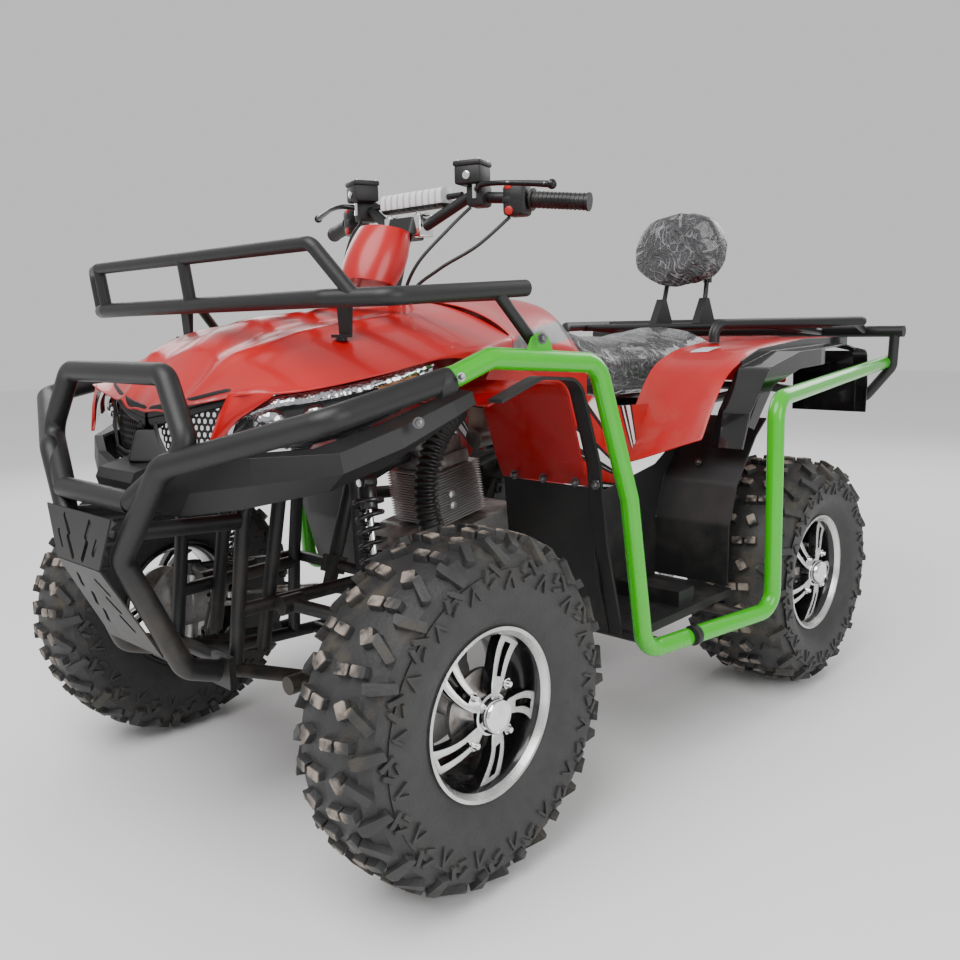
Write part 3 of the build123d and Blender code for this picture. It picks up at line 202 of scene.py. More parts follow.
# ------------------------------------------------------------------ tyres
# Four tubeless mud tyres of black rubber on 10 inch wheels: 23 x 7 in front, 22 x 10 behind.
# The lugs are moulded with the carcass, and the dried mud on their tops is tan.
FRONT_AXLE, REAR_AXLE = (-0.696, 0.292), (0.464, 0.2795)


def tyre_paint(centre, radius):
    def paint(point):
        x, y, z = point.shift((0, *centre)).axes()
        reach = point.node("CombineXYZ", {1: y, 2: z}).length()
        grime = point.noise(34, 5)
        worn = reach.ramp(radius - 0.0045, radius - 0.0015) * grime.ramp(0.36, 0.56)
        crust = point.noise(11, 6).ramp(0.50, 0.66) * reach.ramp(radius - 0.085, radius - 0.03) * grime.ramp(0.4, 0.6)
        rubber = grime.mix((0.012, 0.012, 0.013), (0.040, 0.039, 0.038))
        dusty = (crust * 0.55).mix(rubber, (0.105, 0.085, 0.055))
        return {"Base Color": (worn * 0.92).mix(dusty, point.noise(60, 3).mix((0.26, 0.21, 0.175), (0.40, 0.34, 0.29))),
                "Roughness": (worn + crust).mix((0.55, 0.55, 0.55), (0.92, 0.92, 0.92)),
                "Height": (0.0012, point.noise(160, 4) + crust * point.noise(300, 2))}
    return paint


def tread(centre, side, radius, half, bead, mid, pitches, name, body):
    """One tyre: the carcass is spun, and the lugs are blocks laid on its curve."""
    carcass = [(0, radius - 0.013), (0.42 * half, radius - 0.0145), (0.72 * half, radius - 0.020),
               (0.90 * half, radius - 0.034), (0.985 * half, radius - 0.062), (half, mid + 0.022),
               (0.985 * half, mid - 0.012),
               (0.93 * half, mid - 0.036), (0.85 * half, 0.158), (bead + 0.004, 0.145), (bead - 0.002, 0.134),
               (bead - 0.002, 0.1292)]
    lengths = [0.0]
    for (x0, r0), (x1, r1) in zip(carcass, carcass[1:]):
        lengths.append(lengths[-1] + math.hypot(x1 - x0, r1 - r0))

    def lay(s, h):
        """The place across and from the axis, at a distance along the carcass line and above it."""
        reach = min(abs(s), lengths[-1] - 1e-6)
        k = next(k for k in range(len(lengths) - 1) if lengths[k + 1] > reach)
        share = (reach - lengths[k]) / (lengths[k + 1] - lengths[k])
        (x0, r0), (x1, r1) = carcass[k], carcass[k + 1]
        way = Vector((x1 - x0, r1 - r0)).normalized()
        across = x0 + (x1 - x0) * share - way.y * h
        return math.copysign(across, s), r0 + (r1 - r0) * share + way.x * h

    bm = bmesh.new()
    line = [bm.verts.new((x, 0, r)) for x, r in carcass]
    line = [bm.verts.new((-x, 0, r)) for x, r in reversed(carcass[1:])] + line
    edges = [bm.edges.new(pair) for pair in zip(line, line[1:])]
    bmesh.ops.spin(bm, geom=line + edges, cent=(0, 0, 0), axis=(1, 0, 0), angle=2 * math.pi, steps=72, use_merge=True)
    bmesh.ops.recalc_face_normals(bm, faces=bm.faces)
    pitch = 2 * math.pi / pitches
    # across, along, length across, length along, height, turn; the tops all taper alike
    blocks = []
    for mirror in (1, -1):
        skew = 0.0 if mirror == 1 else 0.5
        blocks += [(mirror * 0.016, 0.10 + skew, 0.029, 0.021, 0.0125, 8 * mirror), (mirror * 0.046,
                   0.14 + skew, 0.027, 0.021, 0.0125, 8 * mirror),
                   (mirror * 0.036, 0.60 + skew, 0.022, 0.031, 0.0125, 34 * mirror),
                   (mirror * 0.72 * half, 0.52 + skew, 0.050, 0.019, 0.0135, -38 * mirror),
                   (mirror * 0.90 * half, 0.02 + skew, 0.046, 0.022, 0.0135, 24 * mirror),
                   (mirror * (half + 0.026), 0.64 + skew, 0.040, 0.012, 0.0055, -18 * mirror),
                   (mirror * (half + 0.024), 0.90 + skew, 0.048, 0.012, 0.0055, 30 * mirror),
                   (mirror * (half + 0.050), 0.76 + skew, 0.008, 0.030, 0.0045, 20 * mirror),
                   (mirror * (half + 0.052), 0.34 + skew, 0.036, 0.007, 0.0040, 32 * mirror),
                   (mirror * (half + 0.052), 0.20 + skew, 0.036, 0.007, 0.0040, -32 * mirror)]
    for s, along, wide, deep, tall, turned in blocks:
        block = bmesh.ops.create_cube(bm, size=1)["verts"]
        top = [v for v in block if v.co.z > 0]
        sides = {e for v in top for e in v.link_edges}
        bmesh.ops.scale(bm, verts=block, vec=(wide, deep, 1))
        bmesh.ops.scale(bm, verts=top, vec=(0.86, 0.78, 1))
        rounded = bmesh.ops.bevel(bm, geom=list(sides), offset=0.0022, segments=1, profile=0.5,
                                  affect="EDGES", material=-1)
        block = list({v for v in rounded["verts"]} | {v for v in block if v.is_valid})
        turning = Matrix.Rotation(math.radians(turned), 3, "Z")
        copies = [block]
        for k in range(1, pitches):
            made = bmesh.ops.duplicate(bm, geom=list({f for v in block for f in v.link_faces}))["geom"]
            copies.append([g for g in made if isinstance(g, bmesh.types.BMVert)])
        for k, verts in enumerate(copies):
            wobble = 1 + 0.05 * math.sin(7.3 * k + 11 * s)
            for v in verts:
                flat = turning @ Vector((v.co.x, v.co.y, 0))
                x, r = lay(s + flat.x, -0.003 + (v.co.z + 0.5) * (tall * wobble + 0.003))
                angle = pitch * (k + along) + flat.y / radius
                v.co = (x, r * math.sin(angle), r * math.cos(angle))
    bmesh.ops.translate(bm, verts=bm.verts, vec=(side, *centre))
    piece = added(name, bm, material(name + "_rubber", tyre_paint(centre, radius)), smooth=28)
    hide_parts(name.replace("mud_tyre", "tyre"))
    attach(piece, body)
    return piece


for sign, word in ((1, "left"), (-1, "right")):
    tread(FRONT_AXLE, sign * 0.470, 0.292, 0.0885, 0.0635, 0.216, 17, "front_mud_tyre_" + word, "front_wheel_" + word)
    tread(REAR_AXLE, sign * 0.460, 0.2795, 0.1265, 0.0955, 0.206, 16, "rear_mud_tyre_" + word, "rear_axle")

# ------------------------------------------------------------------ wheels
# Cast alloy wheels in gloss black, with the faces of the five slotted spokes and the lip
# turned bright in the lathe.  A chromed cap covers the hub, and four nuts hold each wheel.
def turned_paint(centre):
    def paint(point):
        x, y, z = point.shift((0, *centre)).axes()
        reach = point.node("CombineXYZ", {1: y, 2: z}).length()
        rings = (reach * 9000).node("Math", {0: reach * 9000}, operation="SINE")
        stain = point.noise(26, 4).ramp(0.35, 0.8)
        return {"Base Color": stain.mix((0.80, 0.80, 0.79), (0.60, 0.59, 0.57)), "Metallic": 1.0,
                "Roughness": stain * 0.16 + 0.17, "Height": (0.00006, rings + point.noise(300, 2))}
    return paint


def gloss_black(point):
    dust = point.noise(18, 5).ramp(0.52, 0.74)
    return {"Base Color": (dust * 0.5).mix((0.008, 0.008, 0.009), (0.05, 0.045, 0.04)), "Roughness": dust * 0.3 + 0.18,
            "Coat Weight": 0.4}


def chrome(point):
    mist = point.noise(40, 4).ramp(0.4, 0.75)
    return {"Base Color": mist.mix((0.88, 0.88, 0.89), (0.72, 0.71, 0.70)), "Metallic": 1.0,
            "Roughness": mist * 0.14 + 0.05}


rim_black, chrome_finish = material("rim_gloss_black", gloss_black), material("chrome", chrome)


def wheel(centre, side, sign, half, name, body):
    """A wheel is drawn facing +X round the X axis, then put on its side of the axle."""
    faced = material(name + "_turned_face", turned_paint(centre))
    bm = bmesh.new()
    # barrel: lip, drop and inner flange, spun from one closed outline
    outline = [(half, 0.141), (half, 0.1352), (half - 0.004, 0.1318), (half - 0.010, 0.1270), (half - 0.030,
               0.1190), (-half + 0.030, 0.1190),
               (-half + 0.006, 0.1300), (-half, 0.1352), (-half, 0.141), (-half + 0.005, 0.141),
               (-half + 0.010, 0.1290),
               (half - 0.012, 0.1290), (half - 0.006, 0.141)]
    line = [bm.verts.new((x, 0, r)) for x, r in outline]
    edges = [bm.edges.new(pair) for pair in zip(line, line[1:] + line[:1])]
    bmesh.ops.spin(bm, geom=line + edges, cent=(0, 0, 0), axis=(1, 0, 0), angle=2 * math.pi, steps=96, use_merge=True)
    for face in bm.faces:
        x = face.calc_center_median().x
        face.material_index = 1 if x > half - 0.012 and math.hypot(*face.calc_center_median().yz) > 0.129 else 0
    # spokes: rows of four points from the hub to the lip, with the slot left open between rows
    rows = [0.030, 0.046, 0.060, 0.066, 0.076, 0.088, 0.100, 0.110, 0.115, 0.122, 0.1300]
    first_faces = set(bm.faces)
    for spoke in range(5):
        grid = []
        for r in rows:
            share = (r - 0.03) / 0.10
            wide = 0.0125 + 0.0125 * share ** 1.3
            slot = 0.0042 + 0.0045 * share
            swirl = 0.26 * share ** 1.6
            x = half - 0.016 + 0.0105 * math.cos(share * 2.6) + 0.004 * share
            ring = []
            for off in (-wide, -slot, slot, wide):
                angle = 2 * math.pi * spoke / 5 + 0.32 + swirl + off / max(r, 0.045)
                ring.append(bm.verts.new((x, r * math.sin(angle), r * math.cos(angle))))
            grid.append(ring)
        for k in range(len(rows) - 1):
            for column in range(3):
                if column == 1 and 0.058 < rows[k] < 0.114:
                    continue
                bm.faces.new((grid[k][column], grid[k][column + 1], grid[k + 1][column + 1], grid[k + 1][column]))
    faces = [f for f in bm.faces if f not in first_faces]
    for face in faces:
        if face.normal.x < 0 or face.calc_center_median().length == 0:
            face.normal_update()
        face.normal_update()
        if face.normal.x < 0:
            face.normal_flip()
        face.material_index = 1
    pushed = bmesh.ops.extrude_face_region(bm, geom=faces)["geom"]
    backs = [g for g in pushed if isinstance(g, bmesh.types.BMVert)]
    bmesh.ops.translate(bm, verts=backs, vec=(-0.020, 0, 0))
    bmesh.ops.recalc_face_normals(bm, faces=[f for f in bm.faces if f not in first_faces])
    for face in bm.faces:
        if face not in first_faces:
            face.material_index = 1 if face.normal.x > 0.7 else 0
    edges = [e for e in bm.edges if len(e.link_faces) == 2 and e.link_faces[0] not in first_faces
             and {f.material_index for f in e.link_faces} == {0, 1} and e.calc_face_angle(0) > 0.6]
    bmesh.ops.bevel(bm, geom=edges, offset=0.0012, segments=2, profile=0.5, affect="EDGES", material=1)
    # hub with its cap
    cap = [(half - 0.036, 0.037), (half - 0.006, 0.034), (half - 0.005, 0.0305), (half + 0.008, 0.0290),
           (half + 0.0125, 0.0262),
           (half + 0.0130, 0.0235), (half + 0.0118, 0.0225), (half + 0.0125, 0.0)]
    top = min(half, 0.0885 if half < 0.08 else half)
    cap = [(min(x, half + 0.013), r) for x, r in cap]
    line = [bm.verts.new((x, 0, r)) for x, r in cap]
    edges = [bm.edges.new(pair) for pair in zip(line, line[1:])]
    before = set(bm.faces)
    bmesh.ops.spin(bm, geom=line + edges, cent=(0, 0, 0), axis=(1, 0, 0), angle=2 * math.pi, steps=60, use_merge=True)
    ring = [f for f in bm.faces if f not in before]
    bmesh.ops.remove_doubles(bm, verts=list({v for f in ring for v in f.verts}), dist=0.00002)
    bmesh.ops.recalc_face_normals(bm, faces=[f for f in bm.faces if f not in before])
    for face in bm.faces:
        if face not in before:
            face.material_index = 2
    # nuts on their seats, between the spokes
    for nut in range(4):
        angle = math.radians(45 + 90 * nut)
        place = Vector((0, 0.055 * math.sin(angle), 0.055 * math.cos(angle)))
        for sides, r0, r1, x0, x1, slot in ((24, 0.0135, 0.0125, half - 0.034, half - 0.019, 0), (6, 0.0095,
                                            0.0092, half - 0.020, half - 0.006, 2),
                                            (16, 0.0070, 0.0045, half - 0.006, half + 0.001, 2)):
            before = set(bm.faces)
            made = bmesh.ops.create_cone(bm, cap_ends=True, segments=sides, radius1=r0, radius2=r1,
                                         depth=x1 - x0)["verts"]
            spun = Matrix.Translation(place + Vector(((x0 + x1) / 2, 0, 0))) @ Matrix.Rotation(math.pi / 2, 4, "Y")
            bmesh.ops.transform(bm, matrix=spun, verts=made)
            for face in bm.faces:
                if face not in before:
                    face.material_index = slot
    if sign < 0:
        bmesh.ops.scale(bm, verts=bm.verts, vec=(-1, 1, 1))
        bmesh.ops.reverse_faces(bm, faces=bm.faces)
    bmesh.ops.translate(bm, verts=bm.verts, vec=(side, *centre))
    piece = added(name, bm, rim_black, faced, chrome_finish, smooth=32)
    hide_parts(name.replace("alloy_wheel", "rim"))
    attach(piece, body)


for sign, word in ((1, "left"), (-1, "right")):
    wheel(FRONT_AXLE, sign * 0.470, sign, 0.070, "front_alloy_wheel_" + word, "front_wheel_" + word)
    wheel(REAR_AXLE, sign * 0.460, sign, 0.102, "rear_alloy_wheel_" + word, "rear_axle")

# ------------------------------------------------------------------ frame, racks and guards
# Welded steel tube.  The frame, the bull bar and the racks are powder coated in a fine black
# texture, and the tubes beside the legs are sprayed bright green.
def grime(point, low=0.12, high=0.62):
    """Dried splashes: much near the ground, none at the height of the racks."""
    z = point.axes()[2]
    return (1 - z.ramp(low, high)) * point.noise(9, 6, 0.62).ramp(0.47, 0.66) * 0.7


def powder_coat(point):
    dirt = grime(point)
    cloud = point.noise(14, 4)
    return {"Base Color": dirt.mix(cloud.mix((0.005, 0.005, 0.0055), (0.010, 0.010, 0.0105)), (0.10, 0.08, 0.06)),
            "Roughness": dirt * 0.3 + cloud * 0.14 + 0.38, "Height": (0.00022, point.noise(520, 3))}


def green_spray(point):
    dirt = grime(point, 0.1, 0.5)
    peel = point.noise(240, 2)
    return {"Base Color": (dirt * 0.5).mix(point.noise(5, 3).mix((0.028, 0.40, 0.003), (0.040, 0.46, 0.006)),
                                           (0.12, 0.15, 0.05)),
            "Roughness": dirt * 0.4 + 0.26, "Coat Weight": 0.35, "Height": (0.00012, peel)}


def finish(made, *names):
    """A CAD node keeps its shape and gets this material."""
    for name in names:
        nodes[name].data.materials.clear()
        nodes[name].data.materials.append(made)


coat_black, coat_green = material("powder_coat_black", powder_coat), material("sprayed_green", green_spray)
finish(coat_black, "main_frame", "front_bumper", "bumper_plate", "front_rack", "rack_posts", "rear_rack",
       "suspension_arms", "swing_arm", "steering_stem", "handlebar", "backrest_posts")
finish(coat_green, "side_guard_left", "side_guard_right")

# ------------------------------------------------------------------ plastic panels
# Injection moulded polypropylene: glossy red covers, glossy black flares behind, and grained
# black for the lower shells, the leg shields, the flaps and the boards.
def red_gloss(point):
    haze = point.noise(7, 5).ramp(0.42, 0.75)
    dirt = grime(point, 0.45, 0.85)
    return {"Base Color": dirt.mix(haze.mix((0.46, 0.002, 0.003), (0.52, 0.006, 0.007)), (0.30, 0.10, 0.07)),
            "Roughness": haze * 0.12 + dirt * 0.3 + 0.30, "Coat Weight": 0.2, "Height": (0.0004, point.noise(3.2, 2))}


def dark_red(point):
    dust = point.noise(22, 6, 0.6).ramp(0.50, 0.72)
    return {"Base Color": (dust * 0.22).mix((0.36, 0.003, 0.004), (0.20, 0.06, 0.04)), "Roughness": dust * 0.4 + 0.30,
            "Height": (0.0003, point.noise(90, 3)), "Edge": 0.002}


def grained_black(point):
    dirt = grime(point, 0.15, 0.75)
    cloud = point.noise(6, 4)
    return {"Base Color": (dirt * 0.5).mix(cloud.mix((0.006, 0.006, 0.0065), (0.011, 0.011, 0.0115)), (0.075,
            0.065, 0.05)),
            "Roughness": cloud * 0.16 + dirt * 0.3 + 0.42, "Height": (0.00018,
            point.noise(800, 2) + point.noise(60, 2) * 0.5), "Edge": 0.002}


def gloss_flare(point):
    haze = point.noise(8, 5).ramp(0.45, 0.75)
    return {"Base Color": (haze * 0.5).mix((0.004, 0.004, 0.0045), (0.020, 0.020, 0.021)),
            "Roughness": haze * 0.16 + 0.12, "Coat Weight": 0.5,
            "Height": (0.0004, point.noise(4, 2)), "Edge": 0.003}


panel_red, panel_dark_red = material("panel_red", red_gloss), material("fender_dark_red", dark_red)
panel_black, flare_black = material("panel_black", grained_black), material("flare_gloss_black", gloss_flare)
finish(panel_red, "hood", "tank_cover", "rear_fender", "nacelle")
finish(panel_dark_red, "front_inner_fenders")
finish(panel_black, "front_fascia", "front_mud_flaps", "fender_trims", "footwells", "footboards", "grille",
       "hand_controls")
finish(flare_black, "rear_overfenders")

def flowing(stations, y):
    """The numbers of a table of stations at y, on a smooth curve through them."""
    rows = [stations[0]] + list(stations) + [stations[-1]]
    for k in range(1, len(rows) - 2):
        if y <= rows[k + 1][0] or k == len(rows) - 3:
            t = min(max((y - rows[k][0]) / (rows[k + 1][0] - rows[k][0]), 0), 1)
            out = []
            for a, b, c, d in zip(*rows[k - 1:k + 3]):
                out.append(b + 0.5 * t * (c - a + t * (2 * a - 5 * b + 4 * c - d + t * (3 * (b - c) + d - a))))
            return out[1:]


def skin(bm, place, across, along, wall=0.003, cut=None, slot=0, flip=False):
    """Adds a moulded panel: a grid laid on the shape that place(u, v) gives, with its thickness inwards."""
    before = set(bm.faces)
    sheet = bmesh.ops.create_grid(bm, x_segments=across, y_segments=along, size=1)["verts"]
    for v in sheet:
        v.co = place(v.co.x, v.co.y)
    faces = [f for f in bm.faces if f not in before]
    if cut:
        gone = [f for f in faces if cut(f.calc_center_median())]
        bmesh.ops.delete(bm, geom=gone, context="FACES")
        faces = [f for f in bm.faces if f not in before]
    if flip:
        bmesh.ops.reverse_faces(bm, faces=faces)
    bmesh.ops.solidify(bm, geom=faces, thickness=wall)
    faces = [f for f in bm.faces if f not in before]
    bmesh.ops.recalc_face_normals(bm, faces=faces)
    for face in faces:
        face.material_index = slot
    return faces


def rounded(piece, levels=1):
    """Subdivision that finishes a moulded piece."""
    smoother = piece.modifiers.new("rounded", "SUBSURF")
    smoother.levels = smoother.render_levels = levels
    return piece


# ------------------------------------------------------------------ hood
# A single red moulding from the nose to the handlebar, with a crease along each side, a beak
# over the grille and a blade that runs down between the grille and each headlamp.
HOOD = [(-0.236, 0.253, 0.804, 0.782, 0.003), (-0.170, 0.304, 0.806, 0.866, 0.003), (-0.060, 0.362, 0.826,
        0.906, 0.003),
        (0.060, 0.392, 0.850, 0.920, 0.005), (0.160, 0.390, 0.862, 0.934, 0.026), (0.300, 0.330, 0.872, 0.950, 0.034)]
FRONT = FRONT_AXLE[0]
REAR = REAR_AXLE[0]
COLUMN_HOLE, CABLE_HOLE = (0.0, 0.290, 0.036), (0.078, 0.264, 0.023)


def hood_place(u, v):
    y = -0.236 + 0.536 * (v + 1) / 2
    half, edge, crown, skirt = flowing(HOOD, y)
    t = min(abs(u) / 0.88, 1.0)
    nose = max(0.0, (-0.12 - y) / 0.116)
    x = half * t
    z = edge + (crown - edge) * (1 - t ** 2.3)
    fade = min(1, max(0, (0.2 - y) / 0.1))
    z += 0.007 * math.exp(-((t - 0.50 + 0.12 * nose) / 0.05) ** 2) * fade
    z += 0.010 * math.exp(-(t / 0.13) ** 2) * fade * (1 - nose) - 0.016 * nose * (1 - t) ** 2
    z -= 0.006 * math.exp(-((t - 0.27) / 0.09) ** 2) * fade
    y -= 0.030 * nose ** 2 * (1 - t ** 1.5)
    if abs(u) > 0.88:
        z -= skirt * (abs(u) - 0.88) / 0.12
    return Vector((math.copysign(x, u), FRONT + y, z))


def near_holes(c):
    for x0, y0, r in (COLUMN_HOLE, CABLE_HOLE, (-CABLE_HOLE[0], *CABLE_HOLE[1:])):
        if math.hypot(c.x - x0, c.y - FRONT - y0) < r + 0.006:
            return True
    return False


bm = bmesh.new()
skin(bm, hood_place, 72, 56, cut=near_holes, flip=False)
for sign in (1, -1):
    blade = [((0.222, -0.240, 0.806), (0.288, -0.196, 0.805)), ((0.208, -0.254, 0.768), (0.238, -0.236, 0.766)),
             ((0.194, -0.264, 0.724), (0.207, -0.258, 0.724))]

    def blade_place(u, v, sign=sign):
        k = min(int(v + 1), 1)
        share, side = v + 1 - k, (u + 1) / 2
        inner = Vector(blade[k][0]).lerp(Vector(blade[k + 1][0]), share)
        outer = Vector(blade[k][1]).lerp(Vector(blade[k + 1][1]), share)
        point = inner.lerp(outer, side) + Vector((0, -0.008 * math.sin(math.pi * side), 0))
        return Vector((sign * point.x, FRONT + point.y, point.z))
    skin(bm, blade_place, 6, 12, wall=0.004)
piece = rounded(added("hood_moulding", bm, panel_red))
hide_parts("hood")
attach(piece, "chassis")

# ------------------------------------------------------------------ tank cover and side covers
# Red mouldings round the tank.  Their sides wear a printed film of white, black and grey
# shards that fan out from under the seat.
TANK = [(0.3003, 0.330, 0.872, 0.950, 0.040), (0.420, 0.246, 0.870, 0.958, 0.060), (0.560, 0.196, 0.856, 0.960, 0.090),
        (0.690, 0.170, 0.838, 0.946, 0.096), (0.760, 0.160, 0.812, 0.900, 0.080)]


def shard_print(point, y, z, red):
    """Pointed rays in white, black and grey between two lines, printed on the red."""
    turn = z.node("Math", {0: z, 1: y}, operation="ARCTAN2")
    wave = (turn * 17 + point.noise(6, 1) * 1.2).node("Math", {0: turn * 17 + point.noise(6, 1) * 1.2},
                                                      operation="SINE")
    fine = (turn * 41).node("Math", {0: turn * 41 + 1}, operation="SINE")
    white = (wave > 0.35) * (fine > -0.6)
    black = (wave > -0.25) * (1 - white)
    return black.mix(white.mix(red, (0.78, 0.78, 0.78)), (0.012, 0.012, 0.013))


def tank_paint(point):
    x, y, z = point.shift((0, FRONT + 0.62, 0.80)).axes()
    inputs = red_gloss(point)
    printed = shard_print(point, y * 1.0, z * 2.6, inputs["Base Color"])
    slant = (z - y * 0.10).ramp(0.052, 0.055) * (1 - (z - y * 0.10).ramp(0.094, 0.098))
    grey = point.noise(3.0, 1).ramp(0.50, 0.52)
    colour = grey.mix(printed, (0.10, 0.10, 0.105))
    inputs["Base Color"] = (slant * (1 - (y > 0.10)) * (x.node("Math", {0: x},
                            operation="ABSOLUTE") > 0.12)).mix(inputs["Base Color"], colour)
    return inputs


def tank_place(u, v):
    y = 0.3003 + 0.4597 * (v + 1) / 2
    half, edge, crown, skirt = flowing(TANK, y)
    t = min(abs(u) / 0.72, 1.0)
    z = edge + (crown - edge) * (1 - t ** 2.6)
    x = half * (1 - (1 - t) ** 1.15)
    end = max(0.0, (v - 0.72) / 0.28)
    z -= 0.018 * end ** 2
    if abs(u) > 0.72:
        z -= skirt * (abs(u) - 0.72) / 0.28
    return Vector((math.copysign(x, u), FRONT + y, z))


bm = bmesh.new()
skin(bm, tank_place, 56, 44, cut=near_holes)
piece = rounded(added("tank_moulding", bm, material("tank_red_printed", tank_paint)))
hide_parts("tank_cover")
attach(piece, "chassis")


def cover_paint(point):
    x, y, z = point.shift((0, FRONT + 0.86, 0.50)).axes()
    inputs = red_gloss(point)
    printed = shard_print(point, y, z, inputs["Base Color"])
    reach = point.shift((0, FRONT + 0.86, 0.50), (0, 1, 1)).length()
    fan = reach.ramp(0.11, 0.12) * (1 - (reach + point.noise(9, 2) * 0.05).ramp(0.33, 0.34)) * (y.ramp(-0.02, -0.03))
    inputs["Base Color"] = fan.mix(inputs["Base Color"], printed)
    return inputs


finish(material("side_cover_printed", cover_paint), "side_covers")

# ------------------------------------------------------------------ rear fender
# Two red wings that roll over from the leg shields to the rack, joined behind the seat by a
# deck.  A paper label without print is stuck on the left wing.
WING = [(-0.366, 0.560), (-0.322, 0.628), (-0.276, 0.700), (-0.232, 0.756), (-0.190, 0.790), (-0.120, 0.815),
        (-0.060, 0.826),
        (0.070, 0.838), (0.200, 0.844), (0.335, 0.845), (0.470, 0.842)]


def wing_place(u, v, sign):
    across = (u + 1) / 2
    low = 0.005 + 0.10 * across
    k = (low + (1 - low) * (v + 1) / 2) * (len(WING) - 1)
    y, z = flowing([(n, *p) for n, p in enumerate(WING)], k)
    roll = max(0.0, (across - 0.84) / 0.16)
    inner = max(0.0, (0.14 - across) / 0.14)
    front = max(0.0, 1 - (v + 1) * 1.6)
    z += 0.004 * inner ** 2 - 0.010 * roll ** 2 * (1 - front)
    y -= 0.006 * math.sin(math.pi * across) * front
    return Vector((sign * (0.214 + 0.206 * across), REAR + y, z))


bm = bmesh.new()
for sign in (1, -1):
    skin(bm, lambda u, v: wing_place(u, v, sign), 24, 48, flip=sign < 0)
DECK = [(0.226, 0.780), (0.234, 0.815), (0.252, 0.838), (0.34, 0.843), (0.43, 0.846), (0.505, 0.842), (0.530,
        0.812), (0.546, 0.705)]


def deck_place(u, v):
    y, z = flowing([(n, *p) for n, p in enumerate(DECK)], (v + 1) / 2 * (len(DECK) - 1))
    return Vector((0.2135 * u, REAR + y, z - 0.003 * u * u))


skin(bm, deck_place, 24, 34)
piece = rounded(added("rear_fender_moulding", bm, panel_red))
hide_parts("rear_fender")
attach(piece, "chassis")


def paper(point):
    lines = point.noise(240, 2).ramp(0.45, 0.65)
    return {"Base Color": lines.mix((0.72, 0.73, 0.76), (0.60, 0.61, 0.64)), "Roughness": 0.35, "Coat Weight": 0.3}


def label_place(u, v):
    base = wing_place(-0.30 + 0.24 * u, 0.10 + 0.105 * v, 1)
    return base + Vector((0, -0.0002, 0.0012))


bm = bmesh.new()
skin(bm, label_place, 6, 8, wall=0.0004)
piece = rounded(added("wing_label", bm, material("label_paper", paper)))
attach(piece, "chassis")

# ------------------------------------------------------------------ headlamps
# Wrap-round lamps under the edge of the hood: a black bowl with two chromed reflectors, a
# chromed brow, an amber indicator with a ribbed end, all behind a clear moulded lens.
LENS = [(0.0, 0.208, -0.240, 0.716, 0.752), (1.0, 0.240, -0.222, 0.716, 0.782), (2.0, 0.272, -0.190, 0.716, 0.797),
        (3.0, 0.303, -0.152, 0.719, 0.803), (4.0, 0.342, -0.080, 0.738, 0.815), (5.0, 0.370, -0.008, 0.768,
        0.832), (6.0, 0.384, 0.042, 0.806, 0.845)]


def lens_point(u, v, sign, sink, low=0.0, high=1.0):
    """u from the foot to the brow, v from the nose to the flare, sunk inwards by sink."""
    x, y, z0, z1 = flowing(LENS, (v + 1) / 2 * 6)
    share = low + (high - low) * (u + 1) / 2
    ahead_x, ahead_y = flowing(LENS, min((v + 1) / 2 * 6 + 0.05, 6))[:2]
    behind_x, behind_y = flowing(LENS, max((v + 1) / 2 * 6 - 0.05, 0))[:2]
    side = Vector((ahead_y - behind_y, behind_x - ahead_x)).normalized()
    bulge = 0.008 * math.sin(math.pi * share) - sink + 0.010 * (1 - share)
    return Vector((sign * (x + side.x * bulge), FRONT + y + side.y * bulge, z0 + (z1 - z0) * share))


def clear_lens(point):
    return {"Base Color": (0.04, 0.042, 0.046), "Roughness": 0.03, "Alpha": point.noise(30, 3).ramp(0.3,
            0.9) * 0.05 + 0.07, "Coat Weight": 1.0}


def reflector(point):
    facets = point.node("TexVoronoi", {"Vector": point, "Scale": 150})
    return {"Base Color": facets.mix((0.9, 0.9, 0.92), (0.55, 0.55, 0.58)), "Metallic": 1.0,
            "Roughness": 0.10, "Height": (0.0008, facets)}


def amber(point):
    ribs = (point.axes()[2] * 900).node("Math", {0: point.axes()[2] * 900}, operation="SINE")
    # painted shade and highlight: the amber is darker in the troughs of the ribs and lighter on their crests
    return {"Base Color": ribs.ramp(-1, 1).mix((0.60, 0.17, 0.02), (0.75, 0.28, 0.04)), "Roughness": 0.18,
            "Coat Weight": 0.8, "Height": (0.0006, ribs)}


